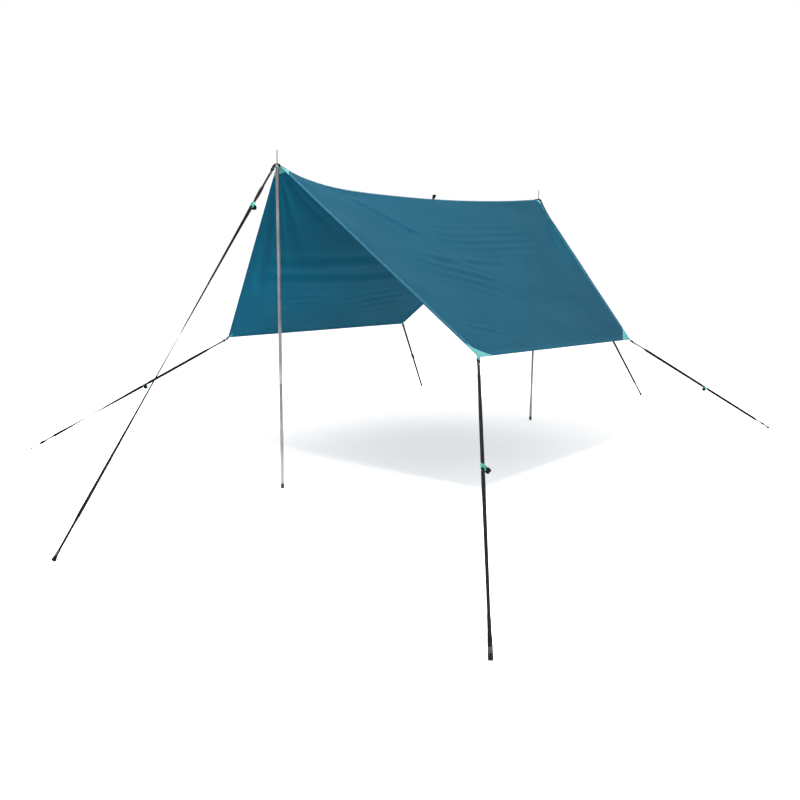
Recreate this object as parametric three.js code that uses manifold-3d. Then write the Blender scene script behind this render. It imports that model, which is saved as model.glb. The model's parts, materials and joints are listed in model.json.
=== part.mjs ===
// Two-pole ridge tarp shelter: a six-sided tarp over a sagging ridge, two sectional poles and six guys.
// Millimetres. +Z is up, +Y runs along the ridge to the far pole, the origin is on the ground at the centre.
import * as THREE from 'three';
import { mergeVertices } from 'three/addons/utils/BufferGeometryUtils.js';
import Module from 'manifold-3d';

// ---- driving dimensions ----
const RIDGE_HALF = 1380;          // half of the ridge line, from eyelet to eyelet
const RIDGE_HEIGHT = 1800;        // ground to ridge eyelet
const RIDGE_SAG = 97;             // deepest dip of the ridge under the eyelets
const SAG_AT = -0.35;             // where the dip is deepest, as a part of the half ridge
const SAG_POWER_NEAR = 3.3;       // how the curve steepens towards the near pole
const SAG_POWER_FAR = 2;
const EAVE_OUT = 1032;            // ridge line to eave, measured flat on the ground
const EAVE_HEIGHT = 772;
const EAVE_HALF = 934;            // half of the eave, shorter than the ridge
const NEAR_RIGHT_LIFT = 30;       // the near right corner is guyed a little higher
const SEAM_HALF = 13;             // centre line to the inner edge of each wing
const CLOTH = 2;                  // thickness of the cloth stand-in
const RIDGE_STEPS = 16;           // facets of a wing along the ridge
const TAPE_WIDTH = 20;            // strip of the sheet that lies on the ridge line
const TAPE_SHORT = 35;            // it stops this far inside each eyelet
const TAPE_STEPS = 24;

const TUBE_R = 9.2;               // pole tube, outside
const TUBE_WALL = 1;
const SPIGOT_R = 7.9;             // swaged end that enters the next tube
const SPIGOT_LENGTH = 60;
const SECTION = 600;              // one pole section, without its spigot
const SHOULDER_BELOW = 15;        // top of the pole under the ridge eyelet
const SHOULDER_HEIGHT = 5;        // rim of the plug that rests on the upper tube
const PLUG_DEPTH = 40;            // plug inside the upper tube
const PIN_R = 3;
const PIN_ABOVE = 75;             // pin tip above the eyelet
const PIN_POINT = 3;              // height of the pin's tapered tip
const PIN_TIP_R = 1.2;
const FOOT_R = 10.5;
const FOOT_HEIGHT = 28;
const FOOT_FLOOR = 5;

const WEB_WIDTH = 15;             // guy and tab webbing
const WEB_THICK = 1.8;
const TAB_THICK = 2;
const LOOP_R = 6.5;               // sewn loop round a ring bar, outside
const LOOP_BORE = 4.5;
const TAB_UNDER = 5.6;            // tab centre below the corner of the cloth
const TAB_INSIDE = 30;            // tab stretch sewn under the cloth
const TAB_REACH = 14;             // corner to the centre of the tab's loop
const RIDGE_TAB_WIDTH = 18;
const RIDGE_TAB_BEND = 12;        // eyelet to the bend of a ridge tab
const RIDGE_TAB_FALL = 22;        // bend to the centre of its loop
const EYELET_HOLE_R = 7;          // hole in the ridge tab
const EYELET_BORE_R = 5;
const EYELET_NECK_R = 6.6;
const EYELET_FLANGE_R = 8.8;
const EYELET_RIM = 0.9;
const RING_PITCH = 16;            // between the two bars of a ring
const RING_BAR = 3;
const RING_INSIDE = 20;           // clear width of a ring
const LAP = 55;                   // doubled webbing behind a guy's top loop
const PEG_LOOP_R = 7;
const PEG_LOOP_BORE = 5;
const PEG_LOOP_SIDES = 16;
const PEG_LAP = 45;
const RIDGE_LOOP_REACH = 20;      // ridge to the centre of the hanging loop
const RIDGE_LOOP_R = 9;
const RIDGE_LOOP_LEAN = Math.PI / 6;
const GAP = 0.3;                  // between touching pieces

const BUCKLE_WIDTH = 27;
const BUCKLE_LENGTH = 32;
const BUCKLE_HEIGHT = 9;
const BUCKLE_UNDER = 2.6;         // part of the buckle below the strap
const ROLL_R = 13;                // rolled-up tail of a guy
const CORNER_PATCH = 120;         // edges of the triangular reinforcements
const RIDGE_PATCH = { near: 90, far: 60 };
const PATCH_THICK = 1.2;
const PATCH_LIFT = 1.6;           // patch above the middle of the cloth, so that facets clear it

// ---- colours ----
const TEAL = { color: 0x2c6983, roughness: 0.75, metalness: 0 };
const MINT = { color: 0x6fb9b3, roughness: 0.7, metalness: 0 };
const BLACK_WEB = { color: 0x26282b, roughness: 0.85, metalness: 0 };
const DARK_METAL = { color: 0x2f3134, roughness: 0.45, metalness: 0.6 };
const STEEL = { color: 0xb9bcc0, roughness: 0.3, metalness: 1 };
const RUBBER = { color: 0x161718, roughness: 0.9, metalness: 0 };
const BUCKLE_GREEN = { color: 0x3fae93, roughness: 0.5, metalness: 0 };

const wasm = await Module();
wasm.setup();

const shelter = new THREE.Group();
const vec = (x, y, z) => new THREE.Vector3(x, y, z);
const UP = vec(0, 0, 1);

function addNode(name, geometry, look, matrix) {
  const mesh = new THREE.Mesh(geometry, new THREE.MeshStandardMaterial(look));
  mesh.name = name;
  if (matrix) {
    matrix.decompose(mesh.position, mesh.quaternion, mesh.scale);
  }
  shelter.add(mesh);
  return mesh;
}

// A frame whose X runs along a strap, Y out of its face and Z across its width.
function strapFrame(origin, along, across) {
  const face = across.clone().cross(along);
  return new THREE.Matrix4().makeBasis(along, face, across).setPosition(origin);
}

function toManifold(geometry) {
  const bare = geometry.clone();
  bare.deleteAttribute('normal');
  bare.deleteAttribute('uv');
  const merged = mergeVertices(bare, 1e-4);
  const mesh = new wasm.Mesh({
    numProp: 3,
    vertProperties: new Float32Array(merged.attributes.position.array),
    triVerts: new Uint32Array(merged.index.array),
  });
  return new wasm.Manifold(mesh);
}

function fromManifold(solid) {
  const mesh = solid.getMesh();
  const geometry = new THREE.BufferGeometry();
  geometry.setAttribute('position', new THREE.BufferAttribute(mesh.vertProperties, 3));
  geometry.setIndex(new THREE.BufferAttribute(mesh.triVerts, 1));
  geometry.computeVertexNormals();
  return geometry;
}

// ---- tarp surface ----
function ridgeHeight(v) {
  const near = (SAG_AT - v) / (SAG_AT + 1);
  const far = (v - SAG_AT) / (1 - SAG_AT);
  const drop = v < SAG_AT ? 1 - near ** SAG_POWER_NEAR : 1 - far ** SAG_POWER_FAR;
  return RIDGE_HEIGHT - RIDGE_SAG * drop;
}

// Point of a wing: side is -1 left or +1 right, u runs ridge to eave, v runs near (-1) to far (+1).
function wingPoint(side, u, v) {
  const lift = side > 0 ? NEAR_RIGHT_LIFT * (1 - v) / 2 : 0;
  const ridge = vec(0, RIDGE_HALF * v, ridgeHeight(v));
  const eave = vec(side * EAVE_OUT, EAVE_HALF * v, EAVE_HEIGHT + lift);
  return ridge.lerp(eave, u);
}

function wingNormal(side, u, v) {
  const step = 0.01;
  const v0 = Math.max(-1, v - step);
  const v1 = Math.min(1, v + step);
  const alongRidge = wingPoint(side, u, v1).sub(wingPoint(side, u, v0));
  const downSlope = wingPoint(side, 1, v).sub(wingPoint(side, 0, v));
  return downSlope.cross(alongRidge).multiplyScalar(side).normalize();
}

function wingGeometry(side) {
  const slopeSteps = 6;
  const inner = SEAM_HALF / EAVE_OUT;
  const box = new THREE.BoxGeometry(1, 2, 1, slopeSteps, RIDGE_STEPS, 1);
  const position = box.attributes.position;
  for (let i = 0; i < position.count; i += 1) {
    const across = position.getX(i) + 0.5;
    const u = side > 0 ? inner + (1 - inner) * across : 1 - (1 - inner) * across;
    const v = position.getY(i);
    const point = wingPoint(side, u, v);
    point.addScaledVector(wingNormal(side, u, v), CLOTH * position.getZ(i));
    position.setXYZ(i, point.x, point.y, point.z);
  }
  return box;
}

// Thin triangular reinforcement lying on the cloth.
function patchGeometry(corner, legA, legB, normal) {
  const points = [corner, legA, legB].map((p) => p.clone().addScaledVector(normal, PATCH_LIFT + CLOTH / 2));
  const xAxis = points[1].clone().sub(points[0]).normalize();
  const zAxis = points[1].clone().sub(points[0]).cross(points[2].clone().sub(points[0])).normalize();
  if (zAxis.dot(normal) < 0) {
    zAxis.negate();
  }
  const yAxis = zAxis.clone().cross(xAxis);
  const local = points.map((p) => p.clone().sub(points[0]));
  const shape = new THREE.Shape(local.map((p) => new THREE.Vector2(p.dot(xAxis), p.dot(yAxis))));
  const geometry = new THREE.ExtrudeGeometry(shape, { depth: PATCH_THICK, bevelEnabled: false });
  return { geometry, frame: new THREE.Matrix4().makeBasis(xAxis, yAxis, zAxis).setPosition(points[0]) };
}

function addPatch(name, side, u, v, leg) {
  const endwise = v < 0 ? 1 : -1;
  const slopewise = u > 0.5 ? -1 : 1;
  const corner = wingPoint(side, u, v);
  const nextAlong = wingPoint(side, u, v + endwise * 2 / RIDGE_STEPS);
  const nextSlope = wingPoint(side, u + slopewise * 0.05, v);
  const legA = corner.clone().addScaledVector(nextAlong.sub(corner).normalize(), leg);
  const legB = corner.clone().addScaledVector(nextSlope.sub(corner).normalize(), leg);
  const patch = patchGeometry(corner, legA, legB, wingNormal(side, u, v));
  addNode(name, patch.geometry, MINT, patch.frame);
}

function addWing(sideName, side) {
  addNode(`canopy_${sideName}`, wingGeometry(side), TEAL);
  for (const [end, v] of [['near', -1], ['far', 1]]) {
    addPatch(`corner_patch_${end}_${sideName}`, side, 1, v, CORNER_PATCH);
    addPatch(`ridge_patch_${end}_${sideName}`, side, 2 * SEAM_HALF / EAVE_OUT, v, RIDGE_PATCH[end]);
  }
}

function addRidgeTape() {
  const length = 2 * (RIDGE_HALF - TAPE_SHORT);
  const box = new THREE.BoxGeometry(TAPE_WIDTH, length, CLOTH, 1, TAPE_STEPS, 1);
  const position = box.attributes.position;
  for (let i = 0; i < position.count; i += 1) {
    const height = ridgeHeight(position.getY(i) / RIDGE_HALF) + position.getZ(i);
    position.setZ(i, height);
  }
  addNode('ridge_tape', box, TEAL);
}

// ---- webbing ----
// Side outline of a strap that ends in a sewn loop round the last point of the line.
// Each point is [x, y, half thickness]; the loop's centre is the last one, and its third number isn't used.
function loopedShape(line, loopR, boreR, sides, facetAngle) {
  const left = [];
  const right = [];
  for (let i = 0; i < line.length - 1; i += 1) {
    const [x, y, half] = line[i];
    const before = line.slice(0, i).reverse().find((p) => Math.hypot(p[0] - x, p[1] - y) > 1e-6);
    const after = line.slice(i + 1).find((p) => Math.hypot(p[0] - x, p[1] - y) > 1e-6);
    const angleOut = Math.atan2(after[1] - y, after[0] - x);
    const angleIn = before ? Math.atan2(y - before[1], x - before[0]) : angleOut;
    const mid = (angleIn + angleOut) / 2;
    const reach = half / Math.cos((angleOut - angleIn) / 2);
    left.push(new THREE.Vector2(x - reach * Math.sin(mid), y + reach * Math.cos(mid)));
    right.push(new THREE.Vector2(x + reach * Math.sin(mid), y - reach * Math.cos(mid)));
  }
  const centre = line[line.length - 1];
  const previous = line[line.length - 2];
  const heading = Math.atan2(centre[1] - previous[1], centre[0] - previous[0]);
  const opening = Math.asin(previous[2] / loopR);
  const step = 2 * Math.PI / sides;
  const arc = [new THREE.Vector2(loopR * Math.cos(heading + Math.PI + opening),
    loopR * Math.sin(heading + Math.PI + opening))];
  for (let k = -2 * sides; k <= 2 * sides; k += 1) {
    const angle = facetAngle + (k + 0.5) * step;
    if (angle > heading - Math.PI + opening + 0.05 && angle < heading + Math.PI - opening - 0.05) {
      arc.push(new THREE.Vector2(loopR * Math.cos(angle), loopR * Math.sin(angle)));
    }
  }
  arc.push(new THREE.Vector2(loopR * Math.cos(heading + Math.PI - opening),
    loopR * Math.sin(heading + Math.PI - opening)));
  arc.forEach((p) => p.add(new THREE.Vector2(centre[0], centre[1])));
  const shape = new THREE.Shape([...right, ...arc, ...left.reverse()]);
  const hole = new THREE.Path();
  hole.absarc(centre[0], centre[1], boreR, 0, 2 * Math.PI, true);
  shape.holes.push(hole);
  return shape;
}

function acrossExtrude(shape, width) {
  const geometry = new THREE.ExtrudeGeometry(shape, { depth: width, bevelEnabled: false, curveSegments: 6 });
  geometry.translate(0, 0, -width / 2);
  return geometry;
}

// Corners of a rectangle with cut corners, half sizes along X and Y, round the point [x, 0].
function plate(halfX, halfY, chamfer, x = 0) {
  const inX = halfX - chamfer;
  const inY = halfY - chamfer;
  const corners = [[-inX, -halfY], [inX, -halfY], [halfX, -inY], [halfX, inY],
    [inX, halfY], [-inX, halfY], [-halfX, inY], [-halfX, -inY]];
  return corners.map(([px, py]) => new THREE.Vector2(px + x, py));
}

function rectangle(halfX, halfY) {
  const corners = [[-halfX, -halfY], [-halfX, halfY], [halfX, halfY], [halfX, -halfY]];
  return corners.map(([px, py]) => new THREE.Vector2(px, py));
}

function ringGeometry() {
  const halfLong = (RING_PITCH + RING_BAR) / 2;
  const halfWide = RING_INSIDE / 2 + RING_BAR;
  const outline = new THREE.Shape(plate(halfLong, halfWide, 2.4));
  outline.holes.push(new THREE.Path(rectangle(halfLong - RING_BAR, halfWide - RING_BAR)));
  const geometry = new THREE.ExtrudeGeometry(outline, { depth: RING_BAR, bevelEnabled: false });
  geometry.translate(0, 0, -RING_BAR / 2);
  geometry.rotateX(Math.PI / 2);
  return geometry;
}

function buckleGeometry() {
  const middle = BUCKLE_HEIGHT / 2 - BUCKLE_UNDER;
  const section = new THREE.Shape(plate(BUCKLE_HEIGHT / 2, BUCKLE_WIDTH / 2, 2, middle));
  section.holes.push(new THREE.Path(rectangle(WEB_THICK / 2 + 0.5, WEB_WIDTH / 2 + 0.8)));
  const geometry = new THREE.ExtrudeGeometry(section, { depth: BUCKLE_LENGTH, bevelEnabled: false });
  geometry.translate(0, 0, -BUCKLE_LENGTH / 2);
  // The section's X is the buckle's thickness (Y), its Y the width (Z). It is pushed out along the strap (X).
  geometry.applyMatrix4(new THREE.Matrix4().makeBasis(vec(0, 1, 0), vec(0, 0, 1), vec(1, 0, 0)));
  return geometry;
}

function rollGeometry() {
  const geometry = new THREE.CylinderGeometry(ROLL_R, ROLL_R, WEB_WIDTH, 20);
  geometry.rotateX(Math.PI / 2);
  return geometry;
}

// One guy: ring, strap, peg loop, sliding buckle and the rolled tail on it.
// The roll hangs under the strap, or beside it where rollBeside is true.
function addGuy(name, tabLoop, ground, faceNormal, buckleAt, rollBeside = false) {
  const pegCentre = vec(ground[0], ground[1], PEG_LOOP_R * Math.cos(Math.PI / PEG_LOOP_SIDES));
  const pull = pegCentre.clone().sub(tabLoop).normalize();
  const across = pull.clone().cross(faceNormal).normalize();
  addNode(`ring_${name}`, ringGeometry(), DARK_METAL,
    strapFrame(tabLoop.clone().addScaledVector(pull, RING_PITCH / 2), pull, across));

  const top = tabLoop.clone().addScaledVector(pull, RING_PITCH);
  const along = pegCentre.clone().sub(top).normalize();
  const level = along.clone().cross(UP).normalize();
  const strapAcross = along.clone().cross(faceNormal).normalize();
  const half = WEB_THICK / 2;
  const strapEnd = top.distanceTo(pegCentre) - PEG_LAP - GAP;
  const strapLine = [[strapEnd, 0, half], [LAP, 0, half], [LAP, 0, 2 * half], [0, 0, 0]];
  addNode(`guy_${name}`, acrossExtrude(loopedShape(strapLine, LOOP_R, LOOP_BORE, 16, 0), WEB_WIDTH),
    BLACK_WEB, strapFrame(top, along, strapAcross));

  const pegLine = [[-PEG_LAP, 0, 2 * half], [0, 0, 0]];
  const facingGround = Math.atan2(-Math.hypot(along.x, along.y), -along.z);
  addNode(`peg_loop_${name}`,
    acrossExtrude(loopedShape(pegLine, PEG_LOOP_R, PEG_LOOP_BORE, PEG_LOOP_SIDES, facingGround), WEB_WIDTH),
    BLACK_WEB, strapFrame(pegCentre, along, level));

  const buckleCentre = top.clone().addScaledVector(along, buckleAt * top.distanceTo(pegCentre));
  addNode(`buckle_${name}`, buckleGeometry(), BUCKLE_GREEN, strapFrame(buckleCentre, along, strapAcross));
  const face = strapAcross.clone().cross(along);
  const rollAxis = rollBeside ? face.negate() : strapAcross;
  const away = rollAxis.clone().cross(along);
  const clear = rollBeside ? BUCKLE_WIDTH / 2 : BUCKLE_UNDER;
  const rollCentre = buckleCentre.clone().addScaledVector(away, -(ROLL_R + clear + GAP));
  rollCentre.addScaledVector(along, BUCKLE_LENGTH / 2 - ROLL_R);
  addNode(`tail_${name}`, rollGeometry(), BLACK_WEB, strapFrame(rollCentre, along, rollAxis));
}

function addCornerGuy(name, side, v, ground, buckleAt, rollBeside) {
  const corner = wingPoint(side, 1, v);
  const normal = wingNormal(side, 1, v);
  const pull = vec(ground[0], ground[1], PEG_LOOP_R).sub(corner).normalize();
  const across = pull.clone().cross(normal).normalize();
  const face = across.clone().cross(pull);
  const origin = corner.clone().addScaledVector(face, -TAB_UNDER);
  const line = [[-TAB_INSIDE, 0, TAB_THICK / 2], [TAB_REACH, 0, 0]];
  addNode(`corner_tab_${name}`, acrossExtrude(loopedShape(line, LOOP_R, LOOP_BORE, 16, 0), WEB_WIDTH),
    MINT, strapFrame(origin, pull, across));
  const tabLoop = origin.clone().addScaledVector(pull, TAB_REACH);
  addGuy(name, tabLoop, ground, normal, buckleAt, rollBeside);
}

// Webbing tab over the ridge end: a level plate with the eyelet, bent down to the ridge guy's ring.
function addRidgeEnd(endName, v, ground, buckleAt) {
  const apex = vec(0, RIDGE_HALF * v, RIDGE_HEIGHT);
  const plan = vec(ground[0], ground[1] - apex.y, 0).normalize();
  const across = plan.clone().cross(UP).normalize();
  const fall = Math.atan2(RIDGE_HEIGHT - PEG_LOOP_R, Math.hypot(ground[0], ground[1] - apex.y));
  const loop = [RIDGE_TAB_BEND + RIDGE_TAB_FALL * Math.cos(fall), -RIDGE_TAB_FALL * Math.sin(fall)];
  const half = TAB_THICK / 2;
  const line = [[-TAB_INSIDE, 0, half], [RIDGE_TAB_BEND, 0, half], [loop[0], loop[1], 0]];
  const tab = acrossExtrude(loopedShape(line, LOOP_R, LOOP_BORE, 16, 0), RIDGE_TAB_WIDTH);
  const drill = new THREE.CylinderGeometry(EYELET_HOLE_R, EYELET_HOLE_R, 5 * TAB_THICK, 24);
  const cut = fromManifold(toManifold(tab).subtract(toManifold(drill)));
  addNode(`ridge_tab_${endName}`, cut, BLACK_WEB, strapFrame(apex, plan, across));
  addEyelet(endName, apex);
  const tabLoop = apex.clone().addScaledVector(plan, loop[0]).addScaledVector(UP, loop[1]);
  addGuy(`ridge_${endName}`, tabLoop, ground, UP, buckleAt);
}

function lathe(profile, segments) {
  const points = profile.map(([r, z]) => new THREE.Vector2(r, z));
  const geometry = new THREE.LatheGeometry(points, segments);
  geometry.rotateX(Math.PI / 2);
  return geometry;
}

function addEyelet(endName, apex) {
  const seat = TAB_THICK / 2 + GAP;
  const rim = seat + EYELET_RIM;
  const profile = [[EYELET_BORE_R, -rim], [EYELET_FLANGE_R, -rim], [EYELET_FLANGE_R, -seat],
    [EYELET_NECK_R, -seat], [EYELET_NECK_R, seat], [EYELET_FLANGE_R, seat], [EYELET_FLANGE_R, rim],
    [EYELET_BORE_R, rim], [EYELET_BORE_R, -rim]];
  addNode(`eyelet_${endName}`, lathe(profile, 24), DARK_METAL, new THREE.Matrix4().setPosition(apex));
}

// ---- poles ----
function tubeProfile(bottom, top, spigot) {
  const inner = TUBE_R - TUBE_WALL;
  if (!spigot) {
    return [[inner, bottom], [TUBE_R, bottom], [TUBE_R, top], [inner, top], [inner, bottom]];
  }
  const spigotTop = top + SPIGOT_LENGTH;
  const spigotInner = SPIGOT_R - TUBE_WALL;
  return [[inner, bottom], [TUBE_R, bottom], [TUBE_R, top], [SPIGOT_R, top], [SPIGOT_R, spigotTop],
    [spigotInner, spigotTop], [spigotInner, top - 2], [inner, top - 5], [inner, bottom]];
}

function addPole(endName, y) {
  const place = new THREE.Matrix4().setPosition(0, y, 0);
  const segments = 24;
  const footProfile = [[0, 0], [FOOT_R, 0], [FOOT_R, FOOT_HEIGHT], [TUBE_R + GAP, FOOT_HEIGHT],
    [TUBE_R + GAP, FOOT_FLOOR], [0, FOOT_FLOOR]];
  const lowerTop = FOOT_FLOOR + GAP + SECTION;
  const middleTop = lowerTop + GAP + SECTION;
  const shoulder = RIDGE_HEIGHT - SHOULDER_BELOW;
  const upperTop = shoulder - SHOULDER_HEIGHT;
  const tip = RIDGE_HEIGHT + PIN_ABOVE;
  const plugProfile = [[0, upperTop - PLUG_DEPTH], [SPIGOT_R, upperTop - PLUG_DEPTH],
    [SPIGOT_R, upperTop + GAP], [TUBE_R, upperTop + GAP], [TUBE_R, shoulder - 1], [TUBE_R - 1, shoulder],
    [PIN_R, shoulder], [PIN_R, tip - PIN_POINT], [PIN_TIP_R, tip], [0, tip]];
  addNode(`pole_foot_${endName}`, lathe(footProfile, segments), RUBBER, place);
  const lowerProfile = tubeProfile(FOOT_FLOOR + GAP, lowerTop, true);
  const middleProfile = tubeProfile(lowerTop + GAP, middleTop, true);
  const upperProfile = tubeProfile(middleTop + GAP, upperTop, false);
  addNode(`pole_lower_${endName}`, lathe(lowerProfile, segments), STEEL, place);
  addNode(`pole_middle_${endName}`, lathe(middleProfile, segments), STEEL, place);
  addNode(`pole_upper_${endName}`, lathe(upperProfile, segments), STEEL, place);
  addNode(`pole_pin_${endName}`, lathe(plugProfile, segments), STEEL, place);
}

// ---- hanging loop in the middle of the ridge ----
function addRidgeLoop() {
  const shape = loopedShape([[0, 0, WEB_THICK], [RIDGE_LOOP_REACH, 0, 0]], RIDGE_LOOP_R,
    RIDGE_LOOP_R - WEB_THICK, 16, 0);
  const lean = vec(0, Math.sin(RIDGE_LOOP_LEAN), Math.cos(RIDGE_LOOP_LEAN));
  const base = vec(0, 0, ridgeHeight(0) + CLOTH / 2 + GAP + WEB_THICK * Math.sin(RIDGE_LOOP_LEAN));
  addNode('ridge_loop', acrossExtrude(shape, WEB_WIDTH), BLACK_WEB, strapFrame(base, lean, vec(1, 0, 0)));
}

addWing('left', -1);
addWing('right', 1);
addRidgeTape();
addRidgeLoop();
addPole('near', -RIDGE_HALF);
addPole('far', RIDGE_HALF);
addRidgeEnd('near', -1, [117, -2794], 0.112);
addRidgeEnd('far', 1, [160, 3264], 0.085);
addCornerGuy('near_left', -1, -1, [-2009, -1871], 0.41);
addCornerGuy('near_right', 1, -1, [2028, -2294], 0.468, true);
addCornerGuy('far_left', -1, 1, [-1850, 2250], 0.45);
addCornerGuy('far_right', 1, 1, [1610, 2373], 0.502);

export default shelter;
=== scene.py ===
# The looks of a two-pole ridge tarp shelter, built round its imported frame.
# Metres, +Z up, +Y along the ridge.
import json
import math

import bmesh
import bpy
import numpy as np
from mathutils import Matrix, Vector


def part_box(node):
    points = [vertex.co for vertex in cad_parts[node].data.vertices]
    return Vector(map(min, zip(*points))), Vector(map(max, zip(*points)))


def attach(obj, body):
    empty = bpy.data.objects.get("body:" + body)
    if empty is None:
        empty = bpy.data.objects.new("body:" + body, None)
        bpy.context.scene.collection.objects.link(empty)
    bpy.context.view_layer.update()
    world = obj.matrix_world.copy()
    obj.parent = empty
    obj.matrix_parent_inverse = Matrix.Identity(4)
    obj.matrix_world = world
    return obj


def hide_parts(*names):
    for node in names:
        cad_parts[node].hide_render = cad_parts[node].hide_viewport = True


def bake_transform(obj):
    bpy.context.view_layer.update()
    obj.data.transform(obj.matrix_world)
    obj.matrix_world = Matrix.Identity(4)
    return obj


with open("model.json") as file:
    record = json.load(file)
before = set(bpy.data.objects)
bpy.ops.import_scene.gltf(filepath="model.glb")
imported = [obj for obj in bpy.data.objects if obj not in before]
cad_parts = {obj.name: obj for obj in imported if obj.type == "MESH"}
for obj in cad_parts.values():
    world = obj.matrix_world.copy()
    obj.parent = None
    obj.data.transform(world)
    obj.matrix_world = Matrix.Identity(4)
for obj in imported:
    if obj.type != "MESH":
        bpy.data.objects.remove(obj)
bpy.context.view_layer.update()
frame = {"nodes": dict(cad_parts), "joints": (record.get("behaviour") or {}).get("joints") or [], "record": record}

JOINTS = {joint["name"]: joint for joint in frame["joints"]}
MOUNTS = {mount["name"]: mount for mount in frame["record"]["mounts"]}

UP = Vector((0, 0, 1))
ENDS = {"near": -1, "far": 1}             # the sign of Y at each end of the ridge
CORNERS = ("near_left", "near_right", "far_left", "far_right")
GUYS = ("ridge_near", "ridge_far") + CORNERS

# ---- sizes, in metres ----
CLOTH = 0.0007                            # tarp cloth
HEM_WIDTH = 0.028                         # turned and stitched edge
HEM_EXTRA = 0.0011                        # what the turned edge adds to the cloth
HEM_STEP = 0.0015                         # the width of the step from the hem to the cloth
STITCH_INSET = 0.004                      # from the hem's inner edge to its stitches
RIDGE_ROUND = 0.0035                      # radius of the fold over the ridge
SEAM_HALF = 0.010                         # half width of the seam strip on the ridge
SEAM_TOP = 0.0008                         # from the cloth to the top of that strip
SLOPE_SAG = 0.008                         # how far the middle of a wing hangs below its plane
TIP_GAP = 0.0145                          # cloth ends this far inside the pole's pin
PATCH_THICK = 0.0006                      # reinforcement cloth
FACE_LIFT = 0.0001                        # what lies on the cloth starts this far off it
WEB_WIDTH = 0.0175
WEB_THICK = 0.0016
WEB_GAP = 0.0017                          # half the spacing of two doubled straps
RIB_PITCH, CORD_PITCH = 0.0014, 0.0017    # weave of a strap, along it and across it
LOOP_R = 0.0046                           # middle of the webbing where it goes round a ring bar
LAP = 0.04                                # sewn overlap under a ring
STRAP_STEP = 0.012                        # from one cross-section of a strap to the next
SEWN_HALF = 0.005                         # half width of a sewn box
FLAT_AT_BUCKLE = 0.013                    # the strap lies flat this far each side of the buckle's middle
FLAT_AT_END = 0.024                       # and this far each side of where the buckle's slide ends
PEG_LOOP_R = 0.0069                       # outside of the loop at the peg
PEG_LAP = 0.045                           # from the peg to where the loop's two layers part
PEG_BAR = 0.007                           # the CAD loop lies on the ground with this radius
PEG_SIDES = 16                            # sides of the CAD loop's outline
TAB_THICK = 0.0014                        # mint webbing of the corner tabs
TAB_TOP = 0.0008                          # from the middle of that webbing to its stitches
TAB_ROOT = 0.036, 0.03                    # a corner tab starts this far up the slope and along the eave
TAB_TIP = 0.006                           # and leaves the cloth this far from both edges
RIDGE_TAB_HALF = 0.009                    # half width of the black strap over a ridge end
EYELET_HOLE = 0.0062                      # radius of the hole in that strap
WRAP_FROM, WRAP_REACH = 0.009, 0.012      # where it starts to fold over the ridge, and over what length
WRAP_ROUND = 0.004                        # radius of that fold
RING_PITCH = 0.016
RING_WIRE = 0.0016
RING_HALF_WIDE = 0.0115
RING_CORNER = 0.003
ROLL_R = 0.0122                           # outside turn of a rolled tail
ROLL_PITCH = 0.0019                       # from one turn of the roll to the next
ROLL_HEART = 0.003                        # radius where the roll begins
KEEPER_WIDTH, KEEPER_THICK = 0.0125, 0.001
KEEPER_LIFT = 0.0007                      # from the roll to the middle of its band
RIDGE_LOOP_REACH = 0.020
RIDGE_LOOP_R = 0.009
RIDGE_LOOP_LEAN = math.radians(30)
SPIGOT_LENGTH = 0.06
SPIGOT_STEP = 0.0013                      # a spigot's radius is this much smaller than its tube's
SHOULDER_BELOW = 0.015                    # from the ridge down to where the pin gets thick
TUBE_WALL = 0.001
MERGE = 1e-7                              # points closer than this are one

# ---- counts and shares ----
RIDGE_STATIONS = 17                       # places along Y where the CAD cloth has points
GRID_U, GRID_V = 84, 150                  # even grid lines of a wing, down the slope and along it
PLANE_STEP, CLOTH_STEP = 0.004, 0.0015    # steps of u and v over which a normal is measured
PIN_ROOM = 0.22                           # share of an inner ridge patch left out, where the pole leans

# ---- floor and light ----
FLOOR_RADIUS, FLOOR_HEIGHT = 60, -0.0015
FLOOR_GLOW = 0.35                         # light of the white floor itself, which softens the shadow
KEY_POWER, KEY_SIZE, KEY_PLACE = 1500, 2.5, (1.5, -2.5, 7.5)
FILL_POWER, FILL_SIZE, FILL_PLACE = 60, 5.0, (-5.0, -5.0, 4.0)
LIGHT_TARGET = (0, 0, 0.8)

# ---- camera, fitted to the photo ----
SENSOR_WIDTH, LENS = 36, 35.73            # millimetres
CAMERA_PLACE = (3.341, -4.3462, 1.2712)
CAMERA_TURN = (-39.764, 9.661, 0.498)     # degrees from +Y, down from level, and roll


# ---- camera, floor and light ----
def add_camera():
    data = bpy.data.cameras.new("camera")
    camera = bpy.data.objects.new("camera", data)
    bpy.context.scene.collection.objects.link(camera)
    data.sensor_width = SENSOR_WIDTH
    data.lens = LENS
    data.clip_end = 200
    turn, down, roll = (math.radians(a) for a in CAMERA_TURN)
    ahead = Vector((math.sin(turn) * math.cos(down), math.cos(turn) * math.cos(down), -math.sin(down)))
    right = Vector((math.cos(turn), -math.sin(turn), 0))
    up = right.cross(ahead)
    rolled_right = right * math.cos(roll) + up * math.sin(roll)
    rolled_up = up * math.cos(roll) - right * math.sin(roll)
    matrix = Matrix((rolled_right, rolled_up, -ahead)).transposed().to_4x4()
    matrix.translation = Vector(CAMERA_PLACE)
    camera.matrix_world = matrix
    bpy.context.scene.camera = camera


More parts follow.
